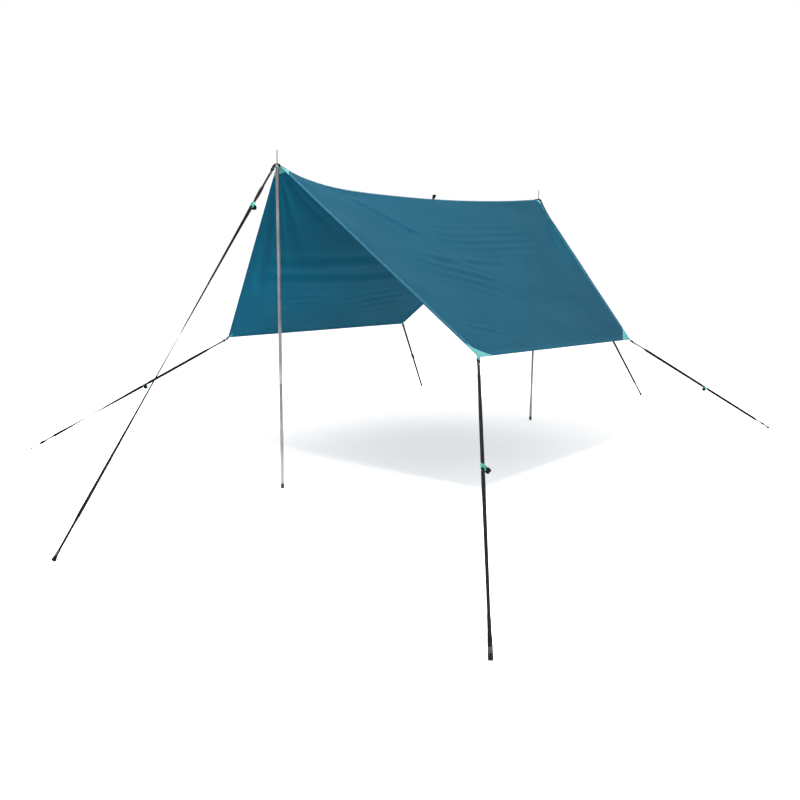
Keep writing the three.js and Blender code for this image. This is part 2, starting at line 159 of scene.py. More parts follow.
def add_floor():
    at = (0, 0, FLOOR_HEIGHT)
    bpy.ops.mesh.primitive_circle_add(vertices=64, radius=FLOOR_RADIUS, fill_type="NGON", location=at)
    floor = bpy.context.object
    floor.name = "studio_floor"
    white = bpy.data.materials.new("studio_white")
    white.use_nodes = True
    shader = white.node_tree.nodes["Principled BSDF"]
    shader.inputs["Base Color"].default_value = (0.8, 0.8, 0.8, 1)
    shader.inputs["Roughness"].default_value = 0.9
    shader.inputs["Emission Color"].default_value = (1, 1, 1, 1)
    shader.inputs["Emission Strength"].default_value = FLOOR_GLOW
    floor.data.materials.append(white)


def add_area_light(name, location, size, power):
    data = bpy.data.lights.new(name, "AREA")
    data.shape = "DISK"
    data.size = size
    data.energy = power
    light = bpy.data.objects.new(name, data)
    bpy.context.scene.collection.objects.link(light)
    light.location = location
    light.rotation_euler = (Vector(LIGHT_TARGET) - Vector(location)).to_track_quat("-Z", "Y").to_euler()


def add_lights():
    world = bpy.data.worlds.new("studio")
    bpy.context.scene.world = world
    world.use_nodes = True
    background = world.node_tree.nodes["Background"]
    background.inputs["Color"].default_value = (1, 1, 1, 1)
    background.inputs["Strength"].default_value = 1.0
    add_area_light("key", KEY_PLACE, KEY_SIZE, KEY_POWER)
    add_area_light("fill", FILL_PLACE, FILL_SIZE, FILL_POWER)
    bpy.context.scene.view_settings.view_transform = "Standard"
    bpy.context.scene.view_settings.look = "None"


# ---- materials ----
class Nodes:
    """A short way to add and join shader nodes in one material."""

    def __init__(self, name, roughness=0.6, metallic=0.0, sheen=0.0, specular=0.5):
        self.material = bpy.data.materials.new(name)
        self.material.use_nodes = True
        self.tree = self.material.node_tree
        self.shader = self.tree.nodes["Principled BSDF"]
        self.shader.inputs["Roughness"].default_value = roughness
        self.shader.inputs["Metallic"].default_value = metallic
        self.shader.inputs["Sheen Weight"].default_value = sheen
        self.shader.inputs["Sheen Roughness"].default_value = 0.4
        self.shader.inputs["Specular IOR Level"].default_value = specular

    def add(self, kind, inputs=None, **settings):
        node = self.tree.nodes.new(kind)
        for key, value in settings.items():
            setattr(node, key, value)
        for key, value in (inputs or {}).items():
            if isinstance(value, bpy.types.NodeSocket):
                self.tree.links.new(value, node.inputs[key])
            else:
                node.inputs[key].default_value = value
        return node

    def link(self, output, shader_input):
        self.tree.links.new(output, self.shader.inputs[shader_input])

    def mapped(self, source, scale):
        mapping = self.add("ShaderNodeMapping", {"Vector": source, "Scale": scale})
        return mapping.outputs["Vector"]

    def object_coordinates(self):
        return self.add("ShaderNodeTexCoord").outputs["Object"]

    def uv(self):
        return self.add("ShaderNodeUVMap", uv_map="cloth").outputs["UV"]

    def noise(self, vector, scale, detail=3.0, roughness=0.5):
        settings = {"Vector": vector, "Scale": scale, "Detail": detail, "Roughness": roughness}
        return self.add("ShaderNodeTexNoise", settings).outputs["Fac"]

    def wave(self, vector, pitch, distortion=0.0, direction="X"):
        """Bands that repeat each pitch metres. The texture itself has ten bands in pi."""
        settings = {"Vector": vector, "Scale": math.pi / pitch / 10, "Distortion": distortion, "Detail": 1.0}
        node = self.add("ShaderNodeTexWave", settings, wave_type="BANDS", bands_direction=direction)
        return node.outputs["Fac"]

    def math(self, operation, a, b=0.0):
        return self.add("ShaderNodeMath", {0: a, 1: b}, operation=operation).outputs[0]

    def ramp(self, value, stops):
        node = self.add("ShaderNodeValToRGB", {"Fac": value})
        elements = node.color_ramp.elements
        while len(elements) < len(stops):
            elements.new(0.5)
        for element, (position, color) in zip(elements, stops):
            element.position = position
            element.color = (*color, 1)
        return node.outputs["Color"]

    def mix(self, amount, a, b, blend_type="MIX"):
        node = self.add("ShaderNodeMix", data_type="RGBA", blend_type=blend_type)
        for key, value in ((0, amount), (6, a), (7, b)):
            if isinstance(value, bpy.types.NodeSocket):
                self.tree.links.new(value, node.inputs[key])
            elif isinstance(value, tuple):
                node.inputs[key].default_value = (*value, 1)
            else:
                node.inputs[key].default_value = value
        return node.outputs[2]

    def roughness(self, value, low, high):
        node = self.add("ShaderNodeMapRange", {"Value": value, 3: low, 4: high})
        self.link(node.outputs[0], "Roughness")

    def bump(self, height, distance, strength=1.0, under=None):
        inputs = {"Height": height, "Distance": distance, "Strength": strength}
        if under is not None:
            inputs["Normal"] = under
        return self.add("ShaderNodeBump", inputs).outputs["Normal"]


def shade(color, factor):
    return tuple(min(1.0, channel * factor) for channel in color)


def cloth_material(name, color, roughness, sheen, specular, weave_pitch, grid_pitch, hem_shade=1.6,
                   upper_shade=1.0):
    """Coated woven cloth: fine weave, a faint ripstop grid, uneven roughness, slow colour variation, and painted
    shade near the ridge where upper_shade is below one.
    """
    nodes = Nodes(name, roughness, sheen=sheen, specular=specular)
    place = nodes.object_coordinates()
    uv = nodes.uv()
    slow = nodes.noise(place, 2.2, 4.0)
    fine = nodes.noise(place, 60.0, 3.0)
    tone = nodes.ramp(slow, [(0.25, shade(color, 0.93)), (0.75, shade(color, 1.07))])
    speckle = nodes.ramp(fine, [(0.3, (0.95, 0.95, 0.95)), (0.7, (1, 1, 1))])
    tinted = nodes.mix(1.0, tone, speckle, "MULTIPLY")
    # Painted shade: where upper_shade is below one, the colour is darkened over the upper part of the slope near
    # the ridge. It eases back to the full colour about two thirds of the way down.
    down_slope = nodes.add("ShaderNodeSeparateXYZ", {"Vector": uv}).outputs["Y"]
    upper = (upper_shade, upper_shade, upper_shade)
    painted_ridge_shade = nodes.ramp(nodes.math("DIVIDE", down_slope, SLOPE), [(0.3, upper), (0.68, (1, 1, 1))])
    tinted = nodes.mix(1.0, tinted, painted_ridge_shade, "MULTIPLY")
    weave = nodes.math("MULTIPLY", *[nodes.wave(uv, weave_pitch, direction=way) for way in "XY"])
    lines = [nodes.math("POWER", nodes.wave(uv, grid_pitch, direction=way), 24.0) for way in "XY"]
    grid = nodes.math("MAXIMUM", *lines)
    faint_grid = nodes.math("MULTIPLY", grid, 0.05)
    hem = nodes.add("ShaderNodeAttribute", attribute_name="hem").outputs["Fac"]
    # The hem is tinted towards hem_shade times the colour. Below one, as on the inner face, this is painted shade
    # where the doubled cloth blocks the light that comes through it. The default 1.6 makes the hem lighter.
    hem_tinted = nodes.mix(nodes.math("MULTIPLY", hem, 0.22), tinted, shade(color, hem_shade))
    nodes.link(nodes.mix(faint_grid, hem_tinted, shade(color, 1.5)), "Base Color")
    worn = nodes.noise(place, 14.0, 4.0, 0.6)
    nodes.roughness(worn, roughness - 0.08, roughness + 0.08)
    creased = nodes.bump(nodes.noise(nodes.mapped(place, (9, 3, 9)), 1.0, 4.0, 0.55), 0.004, 0.25)
    woven = nodes.bump(weave, 0.00015, 0.5, creased)
    nodes.link(nodes.bump(grid, 0.0002, 0.5, woven), "Normal")
    return nodes.material


def webbing_material(name, color, fleck):
    """Flat woven strap: ribs across it and a few bleached threads."""
    nodes = Nodes(name, 0.85, specular=0.05)
    uv = nodes.uv()
    ribs = nodes.wave(uv, RIB_PITCH, 1.2, "X")
    cords = nodes.wave(uv, CORD_PITCH, 0.4, "Y")
    weave = nodes.math("MULTIPLY", ribs, cords)
    scuffs = nodes.noise(nodes.mapped(uv, (30, 160, 1)), 1.0, 4.0, 0.6)
    worn = nodes.ramp(scuffs, [(0.45, (0, 0, 0)), (0.8, (1, 1, 1))])
    base = nodes.ramp(weave, [(0.1, shade(color, 0.65)), (0.8, shade(color, 1.35))])
    amount = nodes.math("MULTIPLY", worn, 0.35)
    nodes.link(nodes.mix(amount, base, fleck), "Base Color")
    nodes.link(nodes.bump(weave, 0.00035, 0.8), "Normal")
    return nodes.material


def metal_material(name, color, roughness, streak):
    """Metal with drawn streaks along its length, soft stains and handling marks."""
    nodes = Nodes(name, roughness, metallic=1.0)
    place = nodes.object_coordinates()
    streaks = nodes.noise(nodes.mapped(place, (260, 260, 6)), 1.0, 4.0, 0.6)
    stains = nodes.noise(place, 9.0, 5.0, 0.6)
    tone = nodes.ramp(stains, [(0.3, shade(color, 0.8)), (0.7, shade(color, 1.08))])
    lines = nodes.ramp(streaks, [(0.3, (1 - streak, 1 - streak, 1 - streak)), (0.7, (1, 1, 1))])
    nodes.link(nodes.mix(1.0, tone, lines, "MULTIPLY"), "Base Color")
    nodes.roughness(stains, roughness - 0.07, roughness + 0.15)
    nodes.link(nodes.bump(streaks, 0.0001, 0.35), "Normal")
    return nodes.material


def coated_material(name, color, roughness, wear):
    """Painted, plastic or rubber part: fine grain, soft tone changes and paler worn edges."""
    nodes = Nodes(name, roughness)
    place = nodes.object_coordinates()
    grain = nodes.noise(place, 1500.0, 2.0)
    soft = nodes.noise(place, 40.0, 3.0)
    tone = nodes.ramp(soft, [(0.3, shade(color, 0.88)), (0.7, shade(color, 1.1))])
    geometry = nodes.add("ShaderNodeNewGeometry")
    edges = nodes.ramp(geometry.outputs["Pointiness"], [(0.51, (0, 0, 0)), (0.6, (1, 1, 1))])
    rubbed = nodes.math("MULTIPLY", edges, nodes.math("MULTIPLY", soft, wear))
    nodes.link(nodes.mix(rubbed, tone, shade(color, 1.9)), "Base Color")
    nodes.roughness(soft, roughness - 0.06, roughness + 0.1)
    nodes.link(nodes.bump(grain, 0.00008, 0.5), "Normal")
    return nodes.material


def make_materials():
    return {
        "tarp_outer": cloth_material("tarp_outer", (0.003, 0.035, 0.058), 0.62, 0.0, 0.05, 0.0007, 0.006),
        # tarp_inner is lighter and more saturated than tarp_outer. This is partly the coated side's own tone and
        # partly painted light for the light that comes through the cloth. Its hem_shade 0.75 and upper_shade 0.72
        # are painted shade.
        "tarp_inner": cloth_material("tarp_inner", (0.0022, 0.066, 0.114), 0.6, 0.0, 0.02, 0.0007, 0.006,
                                     0.75, 0.72),
        "mint": cloth_material("mint", (0.05, 0.185, 0.185), 0.7, 0.0, 0.1, 0.0008, 0.02),
        "black_web": webbing_material("black_web", (0.0045, 0.0055, 0.0065), (0.03, 0.034, 0.038)),
        "mint_web": webbing_material("mint_web", (0.055, 0.19, 0.17), (0.14, 0.34, 0.32)),
        "thread_teal": coated_material("thread_teal", (0.14, 0.36, 0.46), 0.7, 0.1),
        "thread_deep": coated_material("thread_deep", (0.002, 0.03, 0.052), 0.7, 0.1),
        "thread_grey": coated_material("thread_grey", (0.13, 0.14, 0.15), 0.7, 0.1),
        "thread_mint": coated_material("thread_mint", (0.2, 0.42, 0.4), 0.7, 0.1),
        "steel": metal_material("steel", (0.28, 0.28, 0.285), 0.3, 0.3),
        "dark_metal": coated_material("dark_metal", (0.008, 0.0085, 0.0095), 0.5, 0.8),
        "rubber": coated_material("rubber", (0.014, 0.014, 0.015), 0.8, 0.3),
        "buckle": coated_material("buckle", (0.025, 0.19, 0.145), 0.42, 0.4),
    }


# ---- mesh helpers ----
def make_object(name, vertices, faces, material, uvs=None, smooth=True):
    mesh = bpy.data.meshes.new(name)
    mesh.from_pydata([tuple(v) for v in vertices], [], faces)
    if uvs is not None:
        layer = mesh.uv_layers.new(name="cloth")
        loops = np.empty(len(mesh.loops), np.int32)
        mesh.loops.foreach_get("vertex_index", loops)
        layer.data.foreach_set("uv", np.asarray(uvs, np.float32)[loops].ravel())
    mesh.polygons.foreach_set("use_smooth", [smooth] * len(mesh.polygons))
    mesh.materials.append(MATERIALS[material])
    mesh.update()
    obj = bpy.data.objects.new(name, mesh)
    bpy.context.scene.collection.objects.link(obj)
    return obj


def apply_modifiers(obj):
    bpy.context.view_layer.update()
    depsgraph = bpy.context.evaluated_depsgraph_get()
    mesh = bpy.data.meshes.new_from_object(obj.evaluated_get(depsgraph))
    obj.modifiers.clear()
    obj.data = mesh
    return obj


def smooth_step(value):
    clipped = np.clip(value, 0, 1)
    return clipped * clipped * (3 - 2 * clipped)


def unit(vectors):
    """Vectors along the last axis, each made one long."""
    return vectors / np.linalg.norm(vectors, axis=-1, keepdims=True)


def square_to(vectors, tangent):
    """The part of each vector that is square to its tangent, made one long."""
    return unit(vectors - (vectors * tangent).sum(-1, keepdims=True) * tangent)


def run_lengths(path):
    """Distance along a path to each of its points."""
    return np.concatenate([[0], np.cumsum(np.linalg.norm(np.diff(path, axis=0), axis=1))])


def catmull_rom(a, b, c, d, t):
    """Smooth step from b to c, with their neighbours a and d."""
    return b + 0.5 * t * (c - a + t * (2 * a - 5 * b + 4 * c - d + t * (3 * (b - c) + d - a)))


def ribbon(name, path, across, width, thickness, material):
    """Closed strap along path. across is one vector, or one for each point, along its width."""
    path = np.asarray(path, float)
    across = np.broadcast_to(np.asarray(across, float), path.shape)
    tangent = unit(np.gradient(path, axis=0))
    sideways = square_to(across, tangent)
    face = np.cross(sideways, tangent)
    half_w, half_t = width / 2, thickness / 2
    edge = 0.45 * thickness
    under = [(-half_w + edge, -half_t), (0, -half_t), (half_w - edge, -half_t),
             (half_w, -half_t + edge / 2), (half_w, half_t - edge / 2)]
    section = under + [(half_w - edge, half_t), (0, half_t), (-half_w + edge, half_t),
                       (-half_w, half_t - edge / 2), (-half_w, -half_t + edge / 2)]
    count = len(section)
    rings = [path + a * sideways + b * face for a, b in section]
    vertices = np.stack(rings, axis=1).reshape(-1, 3)
    uvs = np.array([(s, a) for s in run_lengths(path) for a, _ in section])
    faces = []
    for i in range(len(path) - 1):
        for k in range(count):
            a, b = i * count + k, i * count + (k + 1) % count
            faces.append((a, b, b + count, a + count))
    faces.append(tuple(range(count - 1, -1, -1)))
    faces.append(tuple(range((len(path) - 1) * count, len(path) * count)))
    return face_out(make_object(name, vertices, faces, material, uvs))


def edit_mesh(obj, change):
    """Run change on the object's mesh as a bmesh."""
    bm = bmesh.new()
    bm.from_mesh(obj.data)
    change(bm)
    bm.to_mesh(obj.data)
    bm.free()
    return obj


def face_out(obj):
    return edit_mesh(obj, lambda bm: bmesh.ops.recalc_face_normals(bm, faces=bm.faces))


def closed_tube(name, path, radius, material, sides=14):
    """Round bar along a closed path."""
    tangent = np.roll(path, -1, axis=0) - np.roll(path, 1, axis=0)
    normal = unit(np.linalg.svd(path - path.mean(0))[2][2])
    side = unit(np.cross(unit(tangent), normal))
    angles = [2 * math.pi * k / sides for k in range(sides)]
    rings = [path + radius * (math.cos(a) * side + math.sin(a) * normal) for a in angles]
    vertices = np.stack(rings, axis=1).reshape(-1, 3)
    faces = []
    for i in range(len(path)):
        for k in range(sides):
            here, ahead = i * sides, (i + 1) % len(path) * sides
            faces.append((here + k, here + (k + 1) % sides, ahead + (k + 1) % sides, ahead + k))
    return face_out(make_object(name, vertices, faces, material))


def lathe(name, profile, centre, material, sides=40):
    """Solid turned about a vertical axis. The profile closes on itself or ends on the axis."""
    vertices, faces = [], []
    rows = len(profile)
    for k in range(sides):
        angle = 2 * math.pi * k / sides
        for radius, height in profile:
            vertices.append((centre[0] + radius * math.cos(angle), centre[1] + radius * math.sin(angle),
                             centre[2] + height))
    for k in range(sides):
        for i in range(rows - 1):
            a, b = k * rows + i, (k + 1) % sides * rows + i
            faces.append((a, b, b + 1, a + 1))

    def close(bm):
        bmesh.ops.remove_doubles(bm, verts=bm.verts, dist=MERGE)
        bmesh.ops.dissolve_degenerate(bm, dist=MERGE, edges=bm.edges)
        bmesh.ops.recalc_face_normals(bm, faces=bm.faces)

    return sharpen(edit_mesh(make_object(name, vertices, faces, material), close), 35)


def sharpen(obj, degrees):
    """Smooth shading that keeps edges sharper than the angle."""
    def mark(bm):
        for edge in bm.edges:
            edge.smooth = edge.calc_face_angle(math.pi) < math.radians(degrees)

    return edit_mesh(obj, mark)


def place_local(origin, along, across):
    """Frame whose X runs along a strap, Y out of its face and Z across its width, as in the CAD."""
    face = Vector(across).cross(Vector(along))
    matrix = Matrix((Vector(along), face, Vector(across))).transposed().to_4x4()
    matrix.translation = Vector(origin)
    return matrix


def stitch_run(points, face, pitch=0.0042, length=0.003, radius=0.0005):
    """Vertices and faces of a row of stitches on a surface. face is one normal, or one for each point."""
    points = np.asarray(points, float)
    face = np.broadcast_to(np.asarray(face, float), points.shape)
    steps = run_lengths(points)
    vertices, faces = [], []
    for s in np.arange(pitch / 2, steps[-1], pitch):
        ends = [s - length / 2, s + length / 2]
        a, b = (np.array([np.interp(e, steps, points[:, i]) for i in range(3)]) for e in ends)
        normal = unit(np.array([np.interp(s, steps, face[:, i]) for i in range(3)]))
        run = unit(b - a)
        side = np.cross(run, normal)
        base = len(vertices)
        for point in (a, b):
            for offset in ((-1, 0), (-0.5, 0.9), (0.5, 0.9), (1, 0)):
                vertices.append(point + radius * (offset[0] * side + offset[1] * normal))
        vertices[base] = vertices[base] - radius * 0.5 * normal
        faces += [(base + k, base + k + 4, base + (k + 1) % 4 + 4, base + (k + 1) % 4) for k in range(4)]
        faces += [(base + 3, base + 2, base + 1, base), (base + 4, base + 5, base + 6, base + 7)]
    return vertices, faces


def stitches(name, rows, material):
    """One object of several rows of stitches. Each row is (points, face normals)."""
    vertices, faces = [], []
    for points, face in rows:
        more_vertices, more_faces = stitch_run(points, face)
        base = len(vertices)
        vertices += more_vertices
        faces += [tuple(base + i for i in f) for f in more_faces]
    return face_out(make_object(name, vertices, faces, material, smooth=False))


def settle(obj, body, node=None):
    """Hide the CAD node a rigid piece replaces, if any, and attach the piece to the body it rides on."""
    if node:
        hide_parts(node)
    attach(obj, body)
    return obj


# ---- the frame's own sizes ----
def node_points(node):
    return np.array([v.co for v in frame["nodes"][node].data.vertices], float)


def station_means(points, stations):
    """Middle of each group of points, in order along Y."""
    order = points[np.argsort(points[:, 1])]
    gaps = np.diff(order[:, 1])
    cuts = np.sort(np.argsort(gaps)[-(stations - 1):]) + 1
    return np.array([np.unique(group.round(5), axis=0).mean(0) for group in np.split(order, cuts)])


def read_wing(side_name):
    """Ridge and eave lines of a wing, from the middle of the CAD cloth."""
    points = node_points(f"canopy_{side_name}")
    reach = np.abs(points[:, 0])
    inner = station_means(points[reach < reach.min() + 0.005], RIDGE_STATIONS)
    outer = station_means(points[reach > reach.max() - 0.005], RIDGE_STATIONS)
    share = np.abs(inner[:, :1]) / np.abs(outer[:, :1])
    ridge = (inner - share * outer) / (1 - share)
    return {"ridge_z": ridge[:, 2], "near": outer[0], "far": outer[-1]}


def spline(values, v):
    """Smooth curve through equally spaced values, for v from -1 to 1."""
    count = len(values)
    place = (np.clip(v, -1, 1) + 1) / 2 * (count - 1)
    i = np.clip(place.astype(int), 0, count - 2)
    t = place - i
    padded = np.concatenate([[2 * values[0] - values[1]], values, [2 * values[-1] - values[-2]]])
    a, b, c, d = padded[i], padded[i + 1], padded[i + 2], padded[i + 3]
    return catmull_rom(a, b, c, d, t)


# ---- the tarp surface ----
def packet(a, b, centre, heading, pitch, height, along, across, phase=0.0):
    """A group of parallel ripples. heading is the angle of their crests from the ridge."""
    run = math.radians(heading)
    s = (a - centre[0]) * math.cos(run) + (b - centre[1]) * math.sin(run)
    t = (b - centre[1]) * math.cos(run) - (a - centre[0]) * math.sin(run)
    bend = 0.012 * np.sin(s / along * 2.1 + phase)
    wave = np.cos(2 * math.pi * (t + bend) / pitch + phase)
    return height * wave * np.exp(-(s / along) ** 2 - (t / across) ** 2)


def fan(a, b, apex, inward, first, last, folds, height, reach):
    """Tension folds that spread from a corner, between two angles from the ridge direction."""
    da, db = (a - apex[0]) * inward, np.abs(b - apex[1])
    distance = np.hypot(da, db)
    angle = np.degrees(np.arctan2(db, da))
    share = (angle - first) / (last - first)
    inside = smooth_step(share * 5) * smooth_step((1 - share) * 5)
    swing = 2 * math.pi * folds * (share + 0.06 * np.sin(9 * share))
    profile = np.cos(swing) + 0.35 * np.cos(2 * swing + 0.8)
    rise = smooth_step((distance - 0.02) / 0.16) * np.exp(-(distance / reach) ** 1.6)
    return height * profile * inside * rise


def crease(a, b, start, end, height, width):
    """One soft fold between two points."""
    run = np.subtract(end, start)
    length = np.linalg.norm(run)
    run = run / length
    s = (a - start[0]) * run[0] + (b - start[1]) * run[1]
    t = (b - start[1]) * run[0] - (a - start[0]) * run[1]
    ends = smooth_step((s + 0.06) / 0.12) * smooth_step((length + 0.06 - s) / 0.12)
    return height * ends * (np.exp(-(t / width) ** 2) - 0.6 * np.exp(-((t - 1.6 * width) / width) ** 2))


def drift(a, b, seed):
    """Slow uneven waves of the whole cloth."""
    random = np.random.RandomState(seed)
    total = np.zeros_like(a)
    for _ in range(9):
        heading, pitch = random.uniform(-0.7, 0.7), random.uniform(0.28, 0.8)
        phase, height = random.uniform(0, 6.3), random.uniform(0.0003, 0.0009)
        across = b * math.cos(heading) + a * math.sin(heading)
        total += height * np.sin(2 * math.pi * across / pitch + phase)
    return total


# Folds of each wing: the function that shapes one, and what it takes.
# Places are metres along the ridge from its middle, and down the slope from the ridge.
NEAR_TIP, FAR_TIP, NEAR_CORNER, FAR_CORNER = (-1.38, 0), (1.38, 0), (-0.934, 1.45), (0.934, 1.45)
FOLDS = {
    "right": [
        (packet, (0.25, 0.43), 1, 0.072, 0.0036, 0.55, 0.15),
        (packet, (-0.36, 0.75), 20, 0.085, 0.0045, 0.3, 0.15, 0.7),
        (packet, (-0.53, 0.36), 24, 0.05, 0.003, 0.13, 0.1, 0.4),
        (packet, (0.35, 1.05), -6, 0.1, 0.0012, 0.5, 0.16, 1.9),
        (packet, (-0.68, 1.24), 21, 0.06, 0.0042, 0.13, 0.06, 0.3),
        (crease, (-0.86, 0.09), (-0.5, 0.375), 0.0075, 0.022),
        (crease, (-0.55, 0.6), (0.14, 0.655), 0.0055, 0.024),
        (crease, (-1.22, 0.16), (-0.97, 0.95), 0.010, 0.085),
        (fan, FAR_TIP, -1, 54, 79, 3, 0.011, 0.8),
        (crease, (1.3, 0.13), (1.07, 0.82), -0.012, 0.032),
        (fan, NEAR_TIP, 1, 8, 60, 3.5, 0.0032, 0.55),
        (fan, NEAR_CORNER, 1, -2, 75, 4, 0.0014, 0.42),
        (fan, FAR_CORNER, -1, -2, 75, 4, 0.0028, 0.4)],
    "left": [
        (fan, NEAR_TIP, 1, 18, 72, 4.5, 0.0055, 0.85),
        (fan, FAR_TIP, -1, 20, 72, 4, 0.0045, 0.7),
        (crease, (-1.31, 0.2), (-0.98, 0.93), -0.012, 0.032),
        (crease, (-1.0, 0.655), (0.1, 0.57), 0.010, 0.042),
        (crease, (-0.95, 0.8), (0.4, 0.77), 0.008, 0.036),
        (packet, (-0.5, 1.04), 2, 0.072, 0.0018, 0.32, 0.08, 1.5),
        (packet, (0.35, 1.08), -6, 0.08, 0.0022, 0.4, 0.14, 1.1),
        (fan, NEAR_CORNER, 1, -2, 75, 4, 0.0022, 0.42),
        (fan, FAR_CORNER, -1, -2, 75, 4, 0.003, 0.4)]}
DRIFT_SEEDS = {"right": 5, "left": 11}
DRIFT_SHARE = 1.5


def relief(side, a, b):
    """How far the folds lift the cloth of one wing off its plane."""
    folds = sum(shape(a, b, *values) for shape, *values in FOLDS[side])
    return folds + DRIFT_SHARE * drift(a, b, DRIFT_SEEDS[side])


def half_length(u):
    return RIDGE_HALF * (1 - u) + EAVE_HALF * u


def tip_cut(u):
    """How far the cloth's end edge stops short of the pole pin, near the ridge."""
    return TIP_GAP * np.exp(-(u / 0.014) ** 2)


def end_v(u, inset):
    """v, up to 1, of a line that runs inset inside the end edge."""
    cut = tip_cut(u)
    return 1 - (cut + inset * (1 - cut / 0.04)) / (half_length(u) * END_SLANT)


def hem_share(u, v):
    """1 on the turned edges of the cloth and 0 inside them."""
    from_eave = (1 - u) * SLOPE
    from_end = (1 - np.abs(v)) * half_length(u) * END_SLANT
    nearest = np.minimum(from_eave, from_end - tip_cut(u))
    return 1 - smooth_step((nearest - HEM_WIDTH + HEM_STEP) / HEM_STEP)


def half_cloth(u, v):
    return (CLOTH + HEM_EXTRA * hem_share(u, v)) / 2


def wing_plane(side, u, v):
    wing = WINGS[side]
    sign = -1 if side == "left" else 1
    ridge = np.stack([0 * v, RIDGE_HALF * v, spline(wing["ridge_z"], v)], axis=-1)
    eave = wing["near"] + (wing["far"] - wing["near"]) * ((v + 1) / 2)[..., None]
    point = ridge + (eave - ridge) * u[..., None]
    fold = RIDGE_ROUND / abs(wing["near"][0])
    point[..., 2] += (eave[..., 2] - ridge[..., 2]) * (np.sqrt(u * u + fold * fold) - u)
    point[..., 0] = sign * np.abs(point[..., 0])
    return point


def edge_fade(u, v):
    """Ripples die out at the ridge and at the stitched edges, less so at the far end edge."""
    from_end = (1 - np.abs(v)) * half_length(u) * END_SLANT
    end = smooth_step(from_end / 0.09)
    end = np.where(v > 0, 0.35 + 0.65 * end, 0.12 + 0.88 * end)
    return smooth_step(u * SLOPE / 0.07) * (0.1 + 0.9 * smooth_step((1 - u) * SLOPE / 0.1)) * end


def numeric_normal(point, side, u, v, step):
    u0, u1 = np.maximum(u - step, 0), np.minimum(u + step, 1)
    v0, v1 = np.maximum(v - step, -1), np.minimum(v + step, 1)
    down = point(side, u1, v) - point(side, u0, v)
    along = point(side, u, v1) - point(side, u, v0)
    normal = unit(np.cross(down, along))
    return normal if side == "right" else -normal


def wing_point(side, u, v):
    """Middle of the cloth, with its sag and ripples."""
    a, b = half_length(u) * v, u * SLOPE
    sag = -SLOPE_SAG * np.sin(math.pi * np.clip(u, 0, 1)) * (1 - v * v)
    height = relief(side, a, b) * edge_fade(u, v) + sag
    return wing_plane(side, u, v) + numeric_normal(wing_plane, side, u, v, PLANE_STEP) * height[..., None]


def wing_normal(side, u, v):
    return numeric_normal(wing_point, side, u, v, CLOTH_STEP)


def on_wing(side, u, v, lift):
    """Point lift above the outer face, or below the inner face where lift is negative."""
    u, v = np.asarray(u, float), np.asarray(v, float)
    offset = np.sign(lift) * half_cloth(u, v) + lift
    return wing_point(side, u, v) + wing_normal(side, u, v) * offset[..., None]


def wing_grid():
    """u and v of the cloth's grid lines: close at the ridge and along the hems, even between them."""
    edge = [0, 0.001, 0.014, HEM_WIDTH - 0.0016, HEM_WIDTH]
    near_ridge = [0, 0.0015, 0.003, 0.005, 0.008, 0.012, 0.018, 0.027]
    even = np.linspace(0.028, 1 - HEM_WIDTH / SLOPE, GRID_U)
    hem_rows = 1 - np.array(edge[::-1][1:]) / SLOPE
    slope_rows = np.concatenate([np.array(near_ridge) / SLOPE, even, hem_rows])
    u = np.repeat(slope_rows[:, None], 2 * len(edge) + GRID_V, axis=1)
    v = np.empty_like(u)
    last = end_v(slope_rows, HEM_WIDTH)
    for k, inset in enumerate(edge):
        v[:, k] = -end_v(slope_rows, inset)
        v[:, -1 - k] = end_v(slope_rows, inset)
    for k in range(GRID_V):
        v[:, len(edge) + k] = last * (-1 + 2 * (k + 1) / (GRID_V + 1))
    return u, v


def grid_faces(rows, columns, base=0, flip=False):
    """Triangles of a grid. Both faces of a sheet share the same diagonals, so they never cross."""
    faces = []
    for i in range(rows - 1):
        for k in range(columns - 1):
            a = base + i * columns + k
            for face in ((a, a + columns, a + columns + 1), (a, a + columns + 1, a + 1)):
                faces.append(face[::-1] if flip else face)
    return faces


def rim_faces(rows, columns, flip):
    """Faces that close a double grid round its edge."""
    size = rows * columns
    ring = [k for k in range(columns)] + [i * columns + columns - 1 for i in range(1, rows)]
    ring += [(rows - 1) * columns + k for k in range(columns - 2, -1, -1)]
    ring += [i * columns for i in range(rows - 2, 0, -1)]
    faces = []
    for a, b in zip(ring, ring[1:] + ring[:1]):
        face = (a, b, b + size, a + size)
        faces.append(face[::-1] if flip else face)
    return faces


def double_grid(name, outer, inner, uvs, materials, flip):
    """Closed thin sheet between two grids of points, with a material for each face."""
    rows, columns = outer.shape[:2]
    size = rows * columns
    vertices = np.concatenate([outer.reshape(-1, 3), inner.reshape(-1, 3)])
    faces = grid_faces(rows, columns, 0, flip) + grid_faces(rows, columns, size, not flip)
    split = len(faces) // 2
    faces += rim_faces(rows, columns, flip)
    obj = make_object(name, vertices, faces, materials[0], np.concatenate([uvs.reshape(-1, 2)] * 2))
    if len(materials) > 1:
        obj.data.materials.append(MATERIALS[materials[1]])
        index = np.zeros(len(faces), np.int32)
        index[split:2 * split] = 1
        obj.data.polygons.foreach_set("material_index", index)
    return sharpen(face_out(obj), 50)


def follow_wing(obj):
    """Bake the piece's transform into its mesh."""
    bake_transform(obj)


def add_canopy(side):
    u, v = wing_grid()
    middle, normal = wing_point(side, u, v), wing_normal(side, u, v)
    half = half_cloth(u, v)[..., None]
    uvs = np.stack([half_length(u) * v, u * SLOPE], axis=-1)
    materials = ["tarp_outer", "tarp_inner"]
    outer, inner = middle + normal * half, middle - normal * half
    skin = double_grid(f"canopy_skin_{side}", outer, inner, uvs, materials, side == "left")
    layer = skin.data.attributes.new("hem", "FLOAT", "POINT")
    layer.data.foreach_set("value", np.tile(hem_share(u, v).ravel(), 2).astype(np.float32))
    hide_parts(f"canopy_{side}")
    follow_wing(skin)
    pieces = add_hem_stitches(side)
    for end in ("near", "far"):
        pieces += add_patches(side, end)


